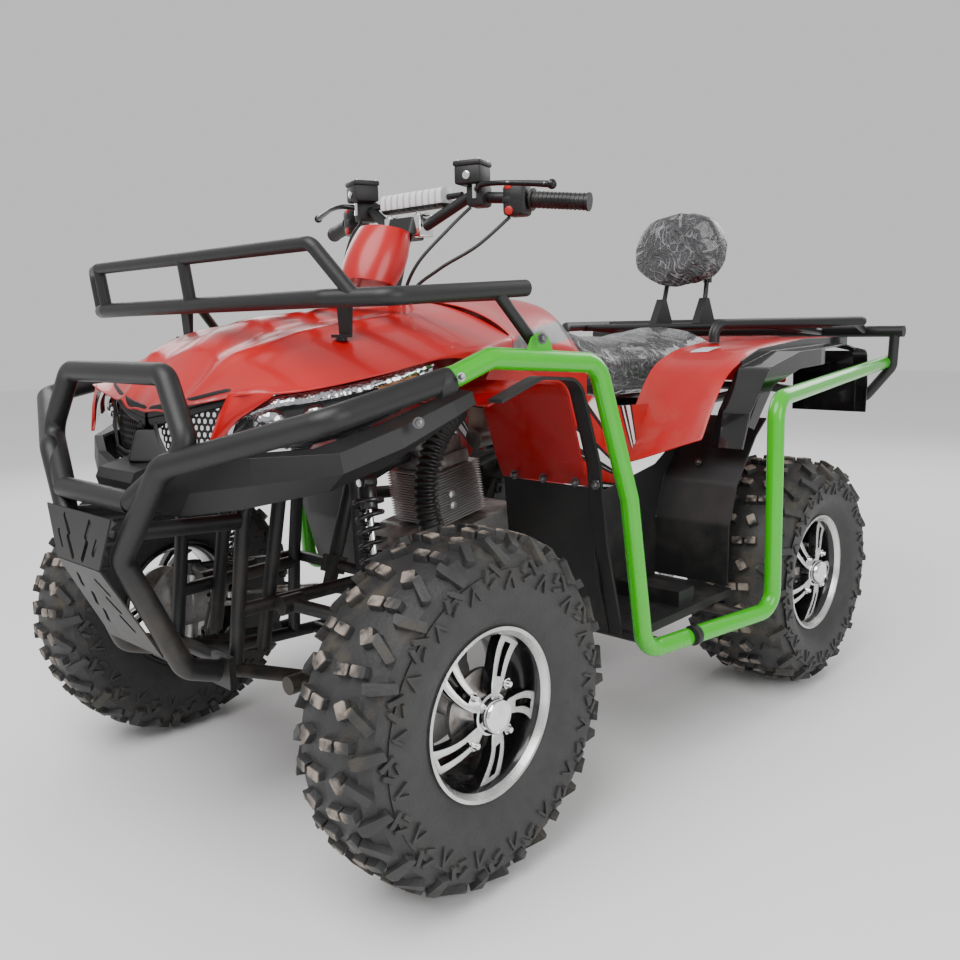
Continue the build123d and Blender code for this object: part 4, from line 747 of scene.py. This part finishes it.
lens_clear, lamp_chrome, lamp_amber = material("lens_clear", clear_lens), material("reflector_chrome",
                                                                                   reflector), material("indicator_amber", amber)
for sign, word in ((1, "left"), (-1, "right")):
    bm = bmesh.new()
    skin(bm, lambda u, v: lens_point(u, v, sign, 0.030), 10, 40, wall=0.002, flip=sign < 0)
    skin(bm, lambda u, v: lens_point(u, 0.02 + 0.96 * v, sign, 0.004, 0.84, 0.99), 4, 40, wall=0.004, slot=1,
         flip=sign < 0)
    skin(bm, lambda u, v: lens_point(u, 0.62 + 0.16 * v, sign, 0.012, 0.30, 0.82), 8, 10, wall=0.003, slot=2,
         flip=sign < 0)
    skin(bm, lambda u, v: lens_point(u, 0.88 + 0.08 * v + 0.006 * math.sin(u * 14), sign, 0.010, 0.10, 0.86),
         40, 4, wall=0.003, slot=1, flip=sign < 0)
    for v, size in ((-0.42, 0.026), (0.06, 0.021)):
        before = set(bm.verts)
        bowl = bmesh.ops.create_uvsphere(bm, u_segments=24, v_segments=14, radius=size)["verts"]
        bmesh.ops.scale(bm, verts=bowl, vec=(0.55, 1, 0.85))
        bmesh.ops.transform(bm, matrix=Matrix.Rotation(sign * math.radians(-38), 4, "Z"), verts=bowl)
        bmesh.ops.translate(bm, verts=bowl, vec=lens_point(0.05, v, sign, 0.024))
        for face in {f for vert in bowl for f in vert.link_faces}:
            face.material_index = 1
    piece = added("headlamp_inside_" + word, bm, flare_black, lamp_chrome, lamp_amber)
    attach(piece, "chassis")
    bm = bmesh.new()
    skin(bm, lambda u, v: lens_point(u, v, sign, 0.0), 12, 44, wall=0.002, flip=sign < 0)
    lens = rounded(added("headlamp_lens_" + word, bm, lens_clear))
    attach(lens, "chassis")
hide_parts("headlamps")

# ------------------------------------------------------------------ grille
# A black V-shaped moulding over a hexagonal steel mesh, with a keel down its middle that
# stands on the lip of the lower shell.
def nose_point(x, z, sink=0.0):
    """A point of the nose, which curves back to each side and leans back upwards."""
    return Vector((x, FRONT - 0.266 + 0.95 * x * x + 0.10 * (z - 0.69) + sink, z))


bm = bmesh.new()
for sign in (1, -1):
    bars = [[(0.004, 0.764, 0.030), (0.080, 0.776, 0.026), (0.200, 0.804, 0.020)],          # brow
            [(0.024, 0.752, 0.012), (0.036, 0.722, 0.013), (0.056, 0.692, 0.014)],          # inner edge of the mesh
            [(0.196, 0.794, 0.016), (0.180, 0.742, 0.018), (0.150, 0.696, 0.018)],          # outer edge
            [(0.030, 0.690, 0.016), (0.090, 0.690, 0.014), (0.160, 0.697, 0.014)]]          # sill
    for bar in bars:
        def bar_place(u, v, bar=bar, sign=sign):
            k = min(int(v + 1), 1)
            share = v + 1 - k
            (xa, za, wa), (xb, zb, wb) = bar[k], bar[k + 1]
            way = Vector((xb - xa, zb - za)).normalized()
            wide = (wa + (wb - wa) * share) / 2 * u
            x, z = xa + (xb - xa) * share - way.y * wide, za + (zb - za) * share + way.x * wide
            return nose_point(sign * x, z, -0.004 + 0.004 * u * u)
        skin(bm, bar_place, 4, 10, wall=0.012)
    # keel: one flank of a ridge that stands proud of the mesh

    def keel_place(u, v, sign=sign):
        z = 0.688 + 0.052 * (v + 1) / 2
        foot = 0.074 - 0.044 * (v + 1) / 2
        share = (u + 1) / 2
        return nose_point(sign * foot * share, z, -0.034 * (1 - share) * (1 - 0.35 * (v + 1) / 2))
    skin(bm, keel_place, 5, 8, wall=0.003)
piece = rounded(added("grille_moulding", bm, panel_black))
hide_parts("grille")
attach(piece, "chassis")


def mesh_steel(point):
    return {"Base Color": point.noise(60, 3).mix((0.010, 0.010, 0.011), (0.025, 0.025, 0.026)),
            "Roughness": 0.4, "Metallic": 0.3}


bm = bmesh.new()
cell = 0.0068
for row in range(-1, 11):
    for column in range(-17, 18):
        x, z = column * cell * 1.732 * 1.06 + (row % 2) * cell * 0.918, 0.690 + row * cell * 1.6
        reach = abs(x)
        if not 0.026 < reach < 0.192 or z < 0.686 or reach > 0.154 + (z - 0.69) * 0.48 or reach < 0.056 - (z - 0.69) * 0.6 or z > 0.762 + 0.20 * reach:
            continue
        ring = bmesh.ops.create_circle(bm, cap_ends=False, segments=6, radius=cell)
        loop = ring["verts"]
        wires = list({e for v in loop for e in v.link_edges})
        wide = bmesh.ops.extrude_edge_only(bm, edges=wires)["geom"]
        inner = [g for g in wide if isinstance(g, bmesh.types.BMVert)]
        bmesh.ops.scale(bm, verts=inner, vec=(0.74, 0.74, 1))
        for v in list(loop) + inner:
            v.co = nose_point(x + v.co.x, z + v.co.y, 0.007)
bmesh.ops.solidify(bm, geom=bm.faces, thickness=0.002)
bmesh.ops.recalc_face_normals(bm, faces=bm.faces)
piece = added("grille_mesh", bm, material("mesh_steel", mesh_steel), smooth=0)
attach(piece, "chassis")

# ------------------------------------------------------------------ seat and backrest
# Moulded foam under dark grey vinyl.  Both still wear the maker's clear wrapping film, which lies in sharp creases
# over the vinyl; its shine along them is a painted highlight, pale grey mixed into the colour.
def wrapped_vinyl(point):
    warp = point.node("VectorMath", {0: point, 1: point.node("TexNoise",
                      {"Vector": point, "Scale": 5.0, "Detail": 2.0}, out=1)}, operation="ADD")
    folds = warp.node("TexVoronoi", {"Vector": warp, "Scale": 16.0}, feature="DISTANCE_TO_EDGE")
    fine = warp.node("TexVoronoi", {"Vector": warp, "Scale": 43.0}, feature="DISTANCE_TO_EDGE")
    crease = 1 - folds.ramp(0.0, 0.10)
    small = 1 - fine.ramp(0.0, 0.13)
    # painted highlight: the colour is lightened to pale grey along the film's creases, and a little along the fine
    # ones, as if they shone
    painted_crease_highlight = crease * point.noise(21, 4).ramp(0.46, 0.62)
    grain = point.node("TexVoronoi", {"Vector": point, "Scale": 620.0})
    return {"Base Color": (painted_crease_highlight * 0.55 + small * 0.10).mix(point.noise(11, 5).mix((0.020, 0.020, 0.022),
            (0.050, 0.050, 0.054)), (0.50, 0.51, 0.53)),
            "Roughness": 0.42 - crease * 0.26, "Coat Weight": 0.55, "Height": (0.0035,
            crease * 0.9 + small * 0.35 + grain * 0.03)}


wrapped = material("vinyl_in_film", wrapped_vinyl)


def pad(name, node, pull, swell, voxel, cap):
    """A foam pad: the CAD solid a little smaller, remeshed, then blown up as cloth."""
    bm = bmesh.new()
    bm.from_mesh(nodes[node].data)
    bmesh.ops.remove_doubles(bm, verts=bm.verts, dist=0.00002)
    middle = sum((v.co for v in bm.verts), Vector()) / len(bm.verts)
    for v in bm.verts:
        v.co = middle + (v.co - middle) * pull
    piece = added(name, bm, wrapped)
    view = bpy.context.view_layer
    view.objects.active = piece
    remesh = piece.modifiers.new("remesh", "REMESH")
    remesh.mode, remesh.voxel_size = "VOXEL", voxel
    evaluated = bpy.data.meshes.new_from_object(piece.evaluated_get(bpy.context.evaluated_depsgraph_get()))
    piece.modifiers.clear()
    piece.data = evaluated
    bm = bmesh.new()
    bm.from_mesh(piece.data)
    for turn in range(6):
        bmesh.ops.smooth_vert(bm, verts=bm.verts, factor=0.5, use_axis_x=True, use_axis_y=True, use_axis_z=True)
    bm.to_mesh(piece.data)
    bm.free()
    start = [v.co.copy() for v in piece.data.vertices]
    cloth = piece.modifiers.new("foam", "CLOTH")
    cloth.settings.use_pressure = True
    cloth.settings.uniform_pressure_force = swell
    cloth.settings.effector_weights.gravity = 0
    scene = bpy.context.scene
    for frame_number in range(1, 21):
        scene.frame_set(frame_number)
    grown = bpy.data.meshes.new_from_object(piece.evaluated_get(bpy.context.evaluated_depsgraph_get()))
    piece.modifiers.clear()
    for v, old, new in zip(piece.data.vertices, start, grown.vertices):
        way = new.co - old
        if way.length > cap:
            way *= cap / way.length
        v.co = old + way
    bpy.data.meshes.remove(grown)
    scene.frame_set(1)
    # the film's folds stand a little proud of the vinyl
    normals = [v.normal.copy() for v in piece.data.vertices]
    for v, normal in zip(piece.data.vertices, normals):
        v.co += normal * (0.0045 * (noise.ridged_multi_fractal(v.co * 9, 0.9, 2.2, 3, 0.8, 2.0,
                          noise_basis="PERLIN_ORIGINAL") - 1.0))
    piece.data.materials.clear()
    piece.data.materials.append(wrapped)
    piece.data.shade_smooth()
    rounded(piece)
    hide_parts(node)
    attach(piece, "chassis")
    return piece


pad("seat_pad", "seat", 0.97, 4.0, 0.007, 0.010)
pad("backrest_cushion", "backrest_pad", 0.93, 4.0, 0.005, 0.010)

# ------------------------------------------------------------------ engine
# An air cooled single in cast aluminium: thin bright fins round a dark barrel, the valve cover
# above, a side cover with its bolts, and the carburettor with its brass plug behind.
def cast_alloy(point):
    soot = point.noise(16, 5).ramp(0.40, 0.70)
    return {"Base Color": soot.mix((0.42, 0.41, 0.40), (0.13, 0.12, 0.11)), "Metallic": 0.85,
            "Roughness": soot * 0.25 + 0.38,
            "Height": (0.0005, point.noise(260, 3)), "Edge": 0.002}


def bright_fin(point):
    return {"Base Color": point.noise(30, 4).mix((0.80, 0.80, 0.80), (0.55, 0.54, 0.53)), "Metallic": 0.9,
            "Roughness": 0.30}


alloy, fin_bright = material("cast_alloy", cast_alloy), material("fin_bright", bright_fin)


def brick(bm, size, place, slot=0, turn=None, edge=0.003, segments=2):
    """A block with rounded edges."""
    before = set(bm.faces)
    block = bmesh.ops.create_cube(bm, size=1)["verts"]
    bmesh.ops.scale(bm, verts=block, vec=size)
    edges = list({e for v in block for e in v.link_edges})
    if edge:
        bmesh.ops.bevel(bm, geom=edges, offset=edge, segments=segments, profile=0.5, affect="EDGES", material=-1)
    verts = list({v for f in bm.faces if f not in before for v in f.verts})
    if turn:
        bmesh.ops.transform(bm, matrix=turn.to_4x4(), verts=verts)
    bmesh.ops.translate(bm, verts=verts, vec=place)
    for face in bm.faces:
        if face not in before:
            face.material_index = slot
    return verts


def drum(bm, radius, length, place, way, slot=0, sides=24, radius2=None, edge=0.0):
    """A round or hexagonal piece with its middle at place and its axis along way."""
    before = set(bm.faces)
    verts = bmesh.ops.create_cone(bm, cap_ends=True, segments=sides, radius1=radius,
                                  radius2=radius if radius2 is None else radius2, depth=length)["verts"]
    if edge:
        rims = [e for e in {e for v in verts for e in v.link_edges} if e.calc_face_angle(0) > 1.2]
        bmesh.ops.bevel(bm, geom=rims, offset=edge, segments=2, profile=0.5, affect="EDGES", material=-1)
        verts = list({v for f in bm.faces if f not in before for v in f.verts})
    turn = Vector(way).to_track_quat("Z", "Y").to_matrix().to_4x4()
    bmesh.ops.transform(bm, matrix=Matrix.Translation(place) @ turn, verts=verts)
    for face in bm.faces:
        if face not in before:
            face.material_index = slot
    return verts


bm = bmesh.new()
tilt = Matrix.Rotation(math.atan(0.16), 3, "X")
foot = Vector((0, FRONT + 0.420, 0.474))


def on_barrel(x, y, z):
    return foot + tilt @ Vector((x, y, z))


brick(bm, (0.116, 0.114, 0.120), on_barrel(0, 0, 0.060), 0, tilt)
for fin in range(20):
    brick(bm, (0.150, 0.146, 0.0022), on_barrel(0, 0, 0.008 + 0.0059 * fin), 1, tilt, edge=0.0008, segments=1)
brick(bm, (0.126, 0.108, 0.030), on_barrel(0, 0, 0.137), 0, tilt)
brick(bm, (0.110, 0.096, 0.040), on_barrel(0, 0, 0.168), 0, tilt, edge=0.010)
for x in (-0.046, 0.046):
    for y in (-0.040, 0.040):
        drum(bm, 0.0065, 0.012, on_barrel(x, y, 0.186), tilt @ Vector((0, 0, 1)), 1, sides=6)
for side in (1, -1):
    for z in (0.045, 0.070):
        drum(bm, 0.009, 0.012, on_barrel(side * 0.076, -0.030, z), (side, 0, 0), 1, sides=16, edge=0.002)
piece = added("cylinder_casting", bm, alloy, fin_bright)
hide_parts("cylinder")
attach(piece, "chassis")
finish(alloy, "engine", "knuckle_left", "knuckle_right")


def tan_metal(point):
    return {"Base Color": point.noise(20, 3).mix((0.42, 0.33, 0.26), (0.28, 0.22, 0.18)), "Metallic": 0.4,
            "Roughness": 0.45}


def brass(point):
    return {"Base Color": point.noise(20, 3).mix((0.60, 0.42, 0.12), (0.40, 0.27, 0.08)), "Metallic": 1.0,
            "Roughness": 0.32}


bm = bmesh.new()
drum(bm, 0.078, 0.016, (0.120, FRONT + 0.400, 0.365), (1, 0, 0), 0, sides=40, edge=0.005)
drum(bm, 0.060, 0.016, (0.120, FRONT + 0.560, 0.360), (1, 0, 0), 0, sides=40, edge=0.005)
brick(bm, (0.010, 0.210, 0.120), (0.117, FRONT + 0.480, 0.362), 0, edge=0.004)
for k in range(9):
    brick(bm, (0.018, 0.090, 0.003), (0.121, FRONT + 0.480, 0.330 + 0.008 * k), 1, edge=0.0008, segments=1)
for k in range(10):
    angle = 2 * math.pi * k / 10
    drum(bm, 0.006, 0.008, (0.130, FRONT + 0.400 + 0.068 * math.cos(angle), 0.365 + 0.068 * math.sin(angle)),
         (1, 0, 0), 1, sides=6)
brick(bm, (0.050, 0.062, 0.070), (0.050, FRONT + 0.520, 0.690), 2, edge=0.006)
drum(bm, 0.024, 0.060, (0.060, FRONT + 0.500, 0.650), (0, 1, 0.1), 0, sides=24, edge=0.003)
drum(bm, 0.010, 0.020, (0.096, FRONT + 0.545, 0.655), (1, 0, 0), 3, sides=6)
drum(bm, 0.013, 0.024, (0.110, FRONT + 0.610, 0.480), (0, 0, 1), 3, sides=20, edge=0.002)
piece = added("engine_fittings", bm, alloy, fin_bright, material("tan_casting", tan_metal),
              material("brass_plug", brass))
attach(piece, "chassis")


# the air hose: ribbed black rubber from the box under the tank down to the engine
def pipe(bm, points, radius, sides=16, steps=60, slot=0, closed_ends=True):
    """A round tube along a smooth line; radius may be a number or change along it."""
    line = [(float(k), *p) for k, p in enumerate(points)]
    rings = []
    before = set(bm.faces)
    for k in range(steps + 1):
        t = (len(points) - 1) * k / steps
        place = Vector(flowing(line, t))
        way = Vector(flowing(line, min(t + 0.02, len(points) - 1))) - Vector(flowing(line, max(t - 0.02, 0)))
        size = radius(k / steps) if callable(radius) else radius
        ring = bmesh.ops.create_circle(bm, cap_ends=closed_ends and k in (0, steps), segments=sides,
                                       radius=size)["verts"]
        frame_at = way.to_track_quat("Z", "Y").to_matrix().to_4x4()
        if rings:
            last = rings[-1][1].to_3x3()
            frame_at = ((last @ Vector((0, 0, 1))).rotation_difference(way).to_matrix() @ last).to_4x4()
        bmesh.ops.transform(bm, matrix=Matrix.Translation(place) @ frame_at, verts=ring)
        rings.append((ring, frame_at))
    for (a, _), (b, _) in zip(rings, rings[1:]):
        for k in range(sides):
            bm.faces.new((a[k], a[(k + 1) % sides], b[(k + 1) % sides], b[k]))
    faces = [f for f in bm.faces if f not in before]
    bmesh.ops.recalc_face_normals(bm, faces=faces)
    for face in faces:
        face.material_index = slot
    return faces


def black_rubber(point):
    dust = point.noise(25, 5).ramp(0.5, 0.75)
    return {"Base Color": (dust * 0.4).mix((0.008, 0.008, 0.008), (0.06, 0.055, 0.05)),
            "Roughness": dust * 0.25 + 0.38, "Height": (0.0002, point.noise(400, 2))}


rubber_black = material("rubber_black", black_rubber)
bm = bmesh.new()
HOSE = [(0.175, 0.300, 0.730), (0.188, 0.240, 0.690), (0.196, 0.198, 0.620), (0.192, 0.200, 0.540), (0.185,
        0.240, 0.465),
        (0.180, 0.300, 0.422), (0.150, 0.338, 0.411), (0.1125, 0.345, 0.410)]
pipe(bm, [(x, FRONT + y, z) for x, y, z in HOSE], lambda s: 0.0225 + 0.0032 * math.cos(2 * math.pi * s * 44),
     sides=20, steps=264)
piece = added("air_hose_ribbed", bm, rubber_black, smooth=80)
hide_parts("intake_hose")
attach(piece, "chassis")

# ------------------------------------------------------------------ dampers and exhaust
# Coil-over dampers: a black spring round a chromed rod and a black body.  The silencer is an oval can with a bright
# end, under the right wing; here the whole CAD part is painted heat black.
def spring_black(point):
    return {"Base Color": point.noise(40, 4).mix((0.009, 0.009, 0.010), (0.030, 0.029, 0.028)),
            "Roughness": 0.30, "Coat Weight": 0.3}


spring_paint = material("spring_paint", spring_black)


def coil_over(name, node, top, foot, coil_r, wire_r, coil_from, coil_to, turns, across):
    top, foot = Vector(top), Vector(foot)
    way = (foot - top).normalized()
    bm = bmesh.new()
    side = way.orthogonal().normalized()
    other = way.cross(side)
    drum(bm, 0.0065, coil_to - 0.02, top + way * ((coil_to - 0.02) / 2 + 0.01), way, 1, sides=20)
    length = (foot - top).length
    drum(bm, 0.0165, 0.042, top + way * 0.030, way, 0, sides=24, edge=0.002)
    drum(bm, 0.0165, length - coil_to + 0.055,
         top + way * (coil_to - 0.03 + (length - coil_to + 0.055) / 2 - 0.010), way, 0, sides=24, edge=0.002)
    for at in (coil_from - 0.004, coil_to + 0.004):
        drum(bm, coil_r + 0.001, 0.008, top + way * at, way, 0, sides=32, edge=0.002)
    for end in (top, foot):
        drum(bm, 0.0148, 0.031, end, across, 0, sides=24, edge=0.002)
        drum(bm, 0.0075, 0.034, end, across, 1, sides=12)
    steps = turns * 10
    helix = []
    for k in range(steps + 1):
        angle = 2 * math.pi * turns * k / steps
        at = coil_from + wire_r + (coil_to - coil_from - 2 * wire_r) * k / steps
        helix.append(top + way * at + (side * math.cos(angle) + other * math.sin(angle)) * (coil_r - wire_r))
    pipe(bm, helix, wire_r, sides=8, steps=steps * 2)
    piece = added(name, bm, spring_paint, chrome_finish, smooth=50)
    if node:
        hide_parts(node)
    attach(piece, "chassis")


for sign, word in ((1, "left"), (-1, "right")):
    coil_over("front_coil_over_" + word, "front_dampers" if sign > 0 else None, (sign * 0.188, FRONT + 0.052,
              0.622), (sign * 0.296, FRONT - 0.004, 0.250),
              0.028, 0.0048, 0.040, 0.250, 8, (0, 1, 0))
coil_over("rear_coil_over", "rear_damper", (0, REAR - 0.132, 0.632), (0, REAR - 0.070, 0.3338), 0.032, 0.0055,
          0.040, 0.210, 6, (1, 0, 0))


def heat_black(point):
    rust = point.noise(24, 6).ramp(0.54, 0.70)
    return {"Base Color": (rust * 0.5).mix((0.014, 0.014, 0.014), (0.10, 0.045, 0.02)),
            "Roughness": rust * 0.2 + 0.5, "Height": (0.0004, point.noise(180, 4)), "Edge": 0.002}


def bare_steel(point):
    stain = point.noise(28, 5).ramp(0.4, 0.7)
    return {"Base Color": stain.mix((0.55, 0.54, 0.53), (0.22, 0.18, 0.15)), "Metallic": 0.9,
            "Roughness": stain * 0.25 + 0.30, "Height": (0.0002, point.noise(300, 3))}


steel_bare = material("bare_steel", bare_steel)
finish(material("heat_black", heat_black), "exhaust")
finish(steel_bare, "rear_axle", "tie_rod_left", "tie_rod_right", "front_hub_left", "front_hub_right")

# ------------------------------------------------------------------ handlebar
# Ribbed rubber grips, forged levers with a ball at the end, square fluid reservoirs with a
# sight glass and four lid screws, and switch housings with coloured buttons.
def red_button(point):
    return {"Base Color": point.noise(60, 2).mix((0.55, 0.010, 0.008), (0.42, 0.008, 0.007)), "Roughness": 0.32}


def worn_lever(point):
    wear = point.noise(60, 4).ramp(0.62, 0.72)
    return {"Base Color": wear.mix((0.012, 0.012, 0.013), (0.30, 0.30, 0.31)), "Metallic": 0.6,
            "Roughness": 0.34, "Coat Weight": 0.2}


finish(panel_black, "hand_controls", "handlebar_grips")
lever_black, button_red = material("lever_black", worn_lever), material("button_red", red_button)


def local(side, x, y, z):
    return Vector((side * x, FRONT + y, z))


for side, word in ((1, "left"), (-1, "right")):
    bm = bmesh.new()
    turn = Matrix.Rotation(side * math.radians(18), 3, "Z")
    brick(bm, (0.056, 0.056, 0.036), local(side, 0.168, 0.372, 1.188), 0, turn, edge=0.005)
    brick(bm, (0.060, 0.060, 0.011), local(side, 0.168, 0.372, 1.2095), 0, turn, edge=0.004)
    for a in (-0.022, 0.022):
        for b in (-0.022, 0.022):
            drum(bm, 0.0034, 0.003, local(side, 0.168, 0.372, 1.2155) + turn @ Vector((a, b, 0)), (0, 0, 1),
                 3, sides=16)
    drum(bm, 0.008, 0.004, local(side, 0.168, 0.372, 1.186) + turn @ Vector((0, -0.029, 0)),
         turn @ Vector((0, -1, 0)), 3, sides=24, edge=0.001)
    brick(bm, (0.038, 0.050, 0.044), local(side, 0.172, 0.386, 1.150), 0, turn, edge=0.008)
    brick(bm, (0.046, 0.052, 0.060), local(side, 0.246, 0.416, 1.136), 0, turn, edge=0.009)
    brick(bm, (0.018, 0.044, 0.048), local(side, 0.262, 0.421, 1.137), 0, turn, edge=0.007)
    brick(bm, (0.014, 0.010, 0.010), local(side, 0.244, 0.392, 1.160), 2, turn, edge=0.003)
    brick(bm, (0.018, 0.008, 0.012), local(side, 0.240, 0.390, 1.136), 0, turn, edge=0.003)
    drum(bm, 0.0085, 0.010, local(side, 0.246, 0.391, 1.116), turn @ Vector((0, -1, 0)), 2, sides=24, edge=0.002)
    lever = [local(side, *p) for p in ((0.176, 0.372, 1.158), (0.210, 0.350, 1.164), (0.252, 0.352, 1.163),
                                       (0.300, 0.369, 1.159), (0.352, 0.388, 1.153))]
    pipe(bm, lever, lambda s: 0.0068 - 0.0018 * math.sin(math.pi * s), sides=14, steps=40, slot=1)
    ball = bmesh.ops.create_uvsphere(bm, u_segments=20, v_segments=12, radius=0.0095)["verts"]
    bmesh.ops.translate(bm, verts=ball, vec=local(side, 0.354, 0.389, 1.153))
    for face in {f for v in ball for f in v.link_faces}:
        face.material_index = 1
    drum(bm, 0.0062, 0.030, local(side, 0.180, 0.364, 1.158), (0, 0, 1), 3, sides=6)
    piece = added("bar_controls_" + word, bm, panel_black, lever_black, button_red, chrome_finish, smooth=40)
    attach(piece, "steering")
    if side > 0:
        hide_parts("hand_controls")
    start, end = local(side, 0.276, 0.425, 1.136), local(side, 0.388, 0.461, 1.123)
    bm = bmesh.new()

    def ribs(s):
        if s < 0.05:
            return 0.0215
        if s > 0.94:
            return 0.0175
        return 0.0150 + 0.0013 * (1 if math.sin(s * 2 * math.pi * 15) > 0 else 0)
    pipe(bm, [start.lerp(end, k / 3) for k in range(4)], ribs, sides=28, steps=180)
    piece = added("grip_" + word, bm, rubber_black, smooth=50)
    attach(piece, "steering")
    if side > 0:
        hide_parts("handlebar_grips")

# clamps, and the white pad wound round the crossbar: near black below a set height, and darker grey in the grooves
# between its turns as painted shade
def wound_foam(point):
    x, y, z = point.axes()
    wrap = (x * 330 + y * 60).node("Math", {0: x * 330 + y * 60}, operation="SINE")
    under = 1 - (z > 1.1435)
    # painted shade: the grooves between the wound turns are coloured darker grey; below z 1.1435 the colour is near
    # black
    return {"Base Color": under.mix(wrap.ramp(-1, -0.4).mix((0.45, 0.45, 0.46), (0.80, 0.80, 0.80)), (0.016,
            0.016, 0.017)), "Roughness": 0.55,
            "Height": (0.0016, wrap.ramp(-1, -0.2) + point.noise(120, 3) * 0.15)}


bm = bmesh.new()
rows = []
for k in range(61):
    x = -0.094 + 0.188 * k / 60
    ring = []
    pinch = 0.0020 * (1 if k in (0, 60) else 0)
    for j in range(28):
        angle = 2 * math.pi * j / 28
        c, s = math.cos(angle), math.sin(angle)
        ring.append(bm.verts.new((x, FRONT + 0.377 + (0.0212 - pinch) * math.copysign(abs(c) ** 0.62, c),
                                  1.156 + (0.0200 - pinch) * math.copysign(abs(s) ** 0.62, s))))
    rows.append(ring)
for a, b in zip(rows, rows[1:]):
    for j in range(28):
        bm.faces.new((a[j], a[(j + 1) % 28], b[(j + 1) % 28], b[j]))
bm.faces.new(rows[0][::-1])
bm.faces.new(rows[-1])
bmesh.ops.recalc_face_normals(bm, faces=bm.faces)
piece = added("crossbar_wrap", bm, material("wound_white_foam", wound_foam), smooth=60)
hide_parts("crossbar_pad")
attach(piece, "steering")

bm = bmesh.new()
for side in (1, -1):
    brick(bm, (0.022, 0.040, 0.046), local(side, 0.044, 0.352, 1.101), 0, edge=0.004)
    for y in (-0.012, 0.012):
        drum(bm, 0.0055, 0.006, local(side, 0.044, 0.352 + y, 1.126), (0, 0, 1), 0, sides=6)
piece = added("bar_clamps", bm, chrome_finish)
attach(piece, "steering")

# ------------------------------------------------------------------ control cables
# Two brake hoses and two throttle cables in smooth black sleeves.  Each is a fixed curve from the steering
# down past the hood to the frame.
RUNS = [[(0.168, 0.364, 1.127), (0.152, 0.318, 1.085), (0.114, 0.268, 1.020), (0.084, 0.256, 0.958), (0.074,
        0.260, 0.890)],
        [(0.238, 0.402, 1.105), (0.196, 0.350, 1.050), (0.134, 0.306, 1.008), (0.084, 0.276, 0.962), (0.084,
        0.270, 0.890)]]
first = True
for k, run in enumerate(RUNS):
    for side, word in ((1, "left"), (-1, "right")):
        bm = bmesh.new()
        points = [local(side, *p) for p in run]
        line = [(float(n), *p) for n, p in enumerate(points)]
        path = [Vector(flowing(line, 4 * n / 80)) for n in range(81)]
        pipe(bm, points, 0.0035, sides=12, steps=80)
        piece = added(("brake_hose_" if k == 0 else "throttle_cable_") + word, bm, rubber_black, smooth=80)
        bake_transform(piece)
        reach = sum((b - a).length for a, b in zip(path, path[1:]))
        if first:
            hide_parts("control_cables")
            first = False

# ------------------------------------------------------------------ fasteners and small fittings
# Zinc plated bolts with washers, the black sleeves at the joints of the side guards, and the bolts
# of the bull bar's plate.
def zinc(point):
    return {"Base Color": point.noise(90, 3).mix((0.34, 0.34, 0.35), (0.16, 0.16, 0.17)), "Metallic": 1.0,
            "Roughness": 0.32}


zinc_plate = material("zinc_plate", zinc)
BOLTS = [((0.440, -0.049, 0.753), (0.75, -0.62, 0.1), 0.0060), ((0.497, -0.012, 0.822), (0.9, -0.4, 0.1),
         0.0045), ((0.500, 0.177, 0.874), (1, 0, 0.1), 0.0065),
         ((0.283, 0.352, 0.604), (0, -1, 0.1), 0.006), ((0.356, 0.352, 0.604), (0, -1, 0.1), 0.006),
         ((0.433, 0.352, 0.604), (0, -1, 0.1), 0.006),
         ((0.480, 0.352, 0.604), (0, -1, 0.1), 0.006),
         ((0.479, 0.894, 0.619), (0, -0.8, 0.5), 0.006), ((0.380, 0.894, 0.571), (0, -0.8, 0.5), 0.006),
         ((0.293, 0.894, 0.526), (0, -0.8, 0.5), 0.006)]
bm = bmesh.new()
for side in (1, -1):
    for place, way, size in BOLTS:
        way = Vector((side * way[0], way[1], way[2])).normalized()
        at = local(side, *place)
        drum(bm, size * 1.5, 0.0022, at, way, 0, sides=24)
        drum(bm, size, 0.006, at + way * 0.004, way, 0, sides=6, edge=0.0008)
piece = added("zinc_bolts", bm, zinc_plate)
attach(piece, "chassis")

bm = bmesh.new()
for side in (1, -1):
    drum(bm, 0.0208, 0.030, local(side, 0.467, -0.020, 0.812), (side * 0.28, 0.90, 0.32), 0, sides=36, edge=0.002)
    drum(bm, 0.0205, 0.016, local(side, 0.560, 0.575, 0.274), (side * 0.1, 1, 0), 0, sides=36, edge=0.002)
piece = added("guard_sleeves", bm, panel_black)
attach(piece, "chassis")

# ------------------------------------------------------------------ tail lamps
# Red moulded lenses with fine upright ribs.
def tail_red(point):
    x = point.axes()[0]
    ribs = (x * 900).node("Math", {0: x * 900}, operation="SINE")
    # painted shade and highlight: the red is darker in the troughs of the ribs and lighter on their crests
    return {"Base Color": ribs.ramp(-1, 1).mix((0.28, 0.004, 0.004), (0.50, 0.010, 0.008)), "Roughness": 0.12,
            "Coat Weight": 0.9, "Height": (0.0006, ribs)}


finish(material("tail_lamp_red", tail_red), "tail_lamps")
for name, width in (("engine", 0.004), ("tail_lamps", 0.005), ("exhaust", 0.003), ("swing_arm", 0.003)):
    weld = nodes[name].modifiers.new("weld", "WELD")
    weld.merge_threshold = 0.00005
    bevel = nodes[name].modifiers.new("bevel", "BEVEL")
    bevel.width, bevel.segments, bevel.limit_method, bevel.angle_limit = width, 2, "ANGLE", math.radians(40)
    bevel.use_clamp_overlap = True


# ------------------------------------------------------------------ update
# The view layer is brought up to date.
bpy.context.view_layer.update()
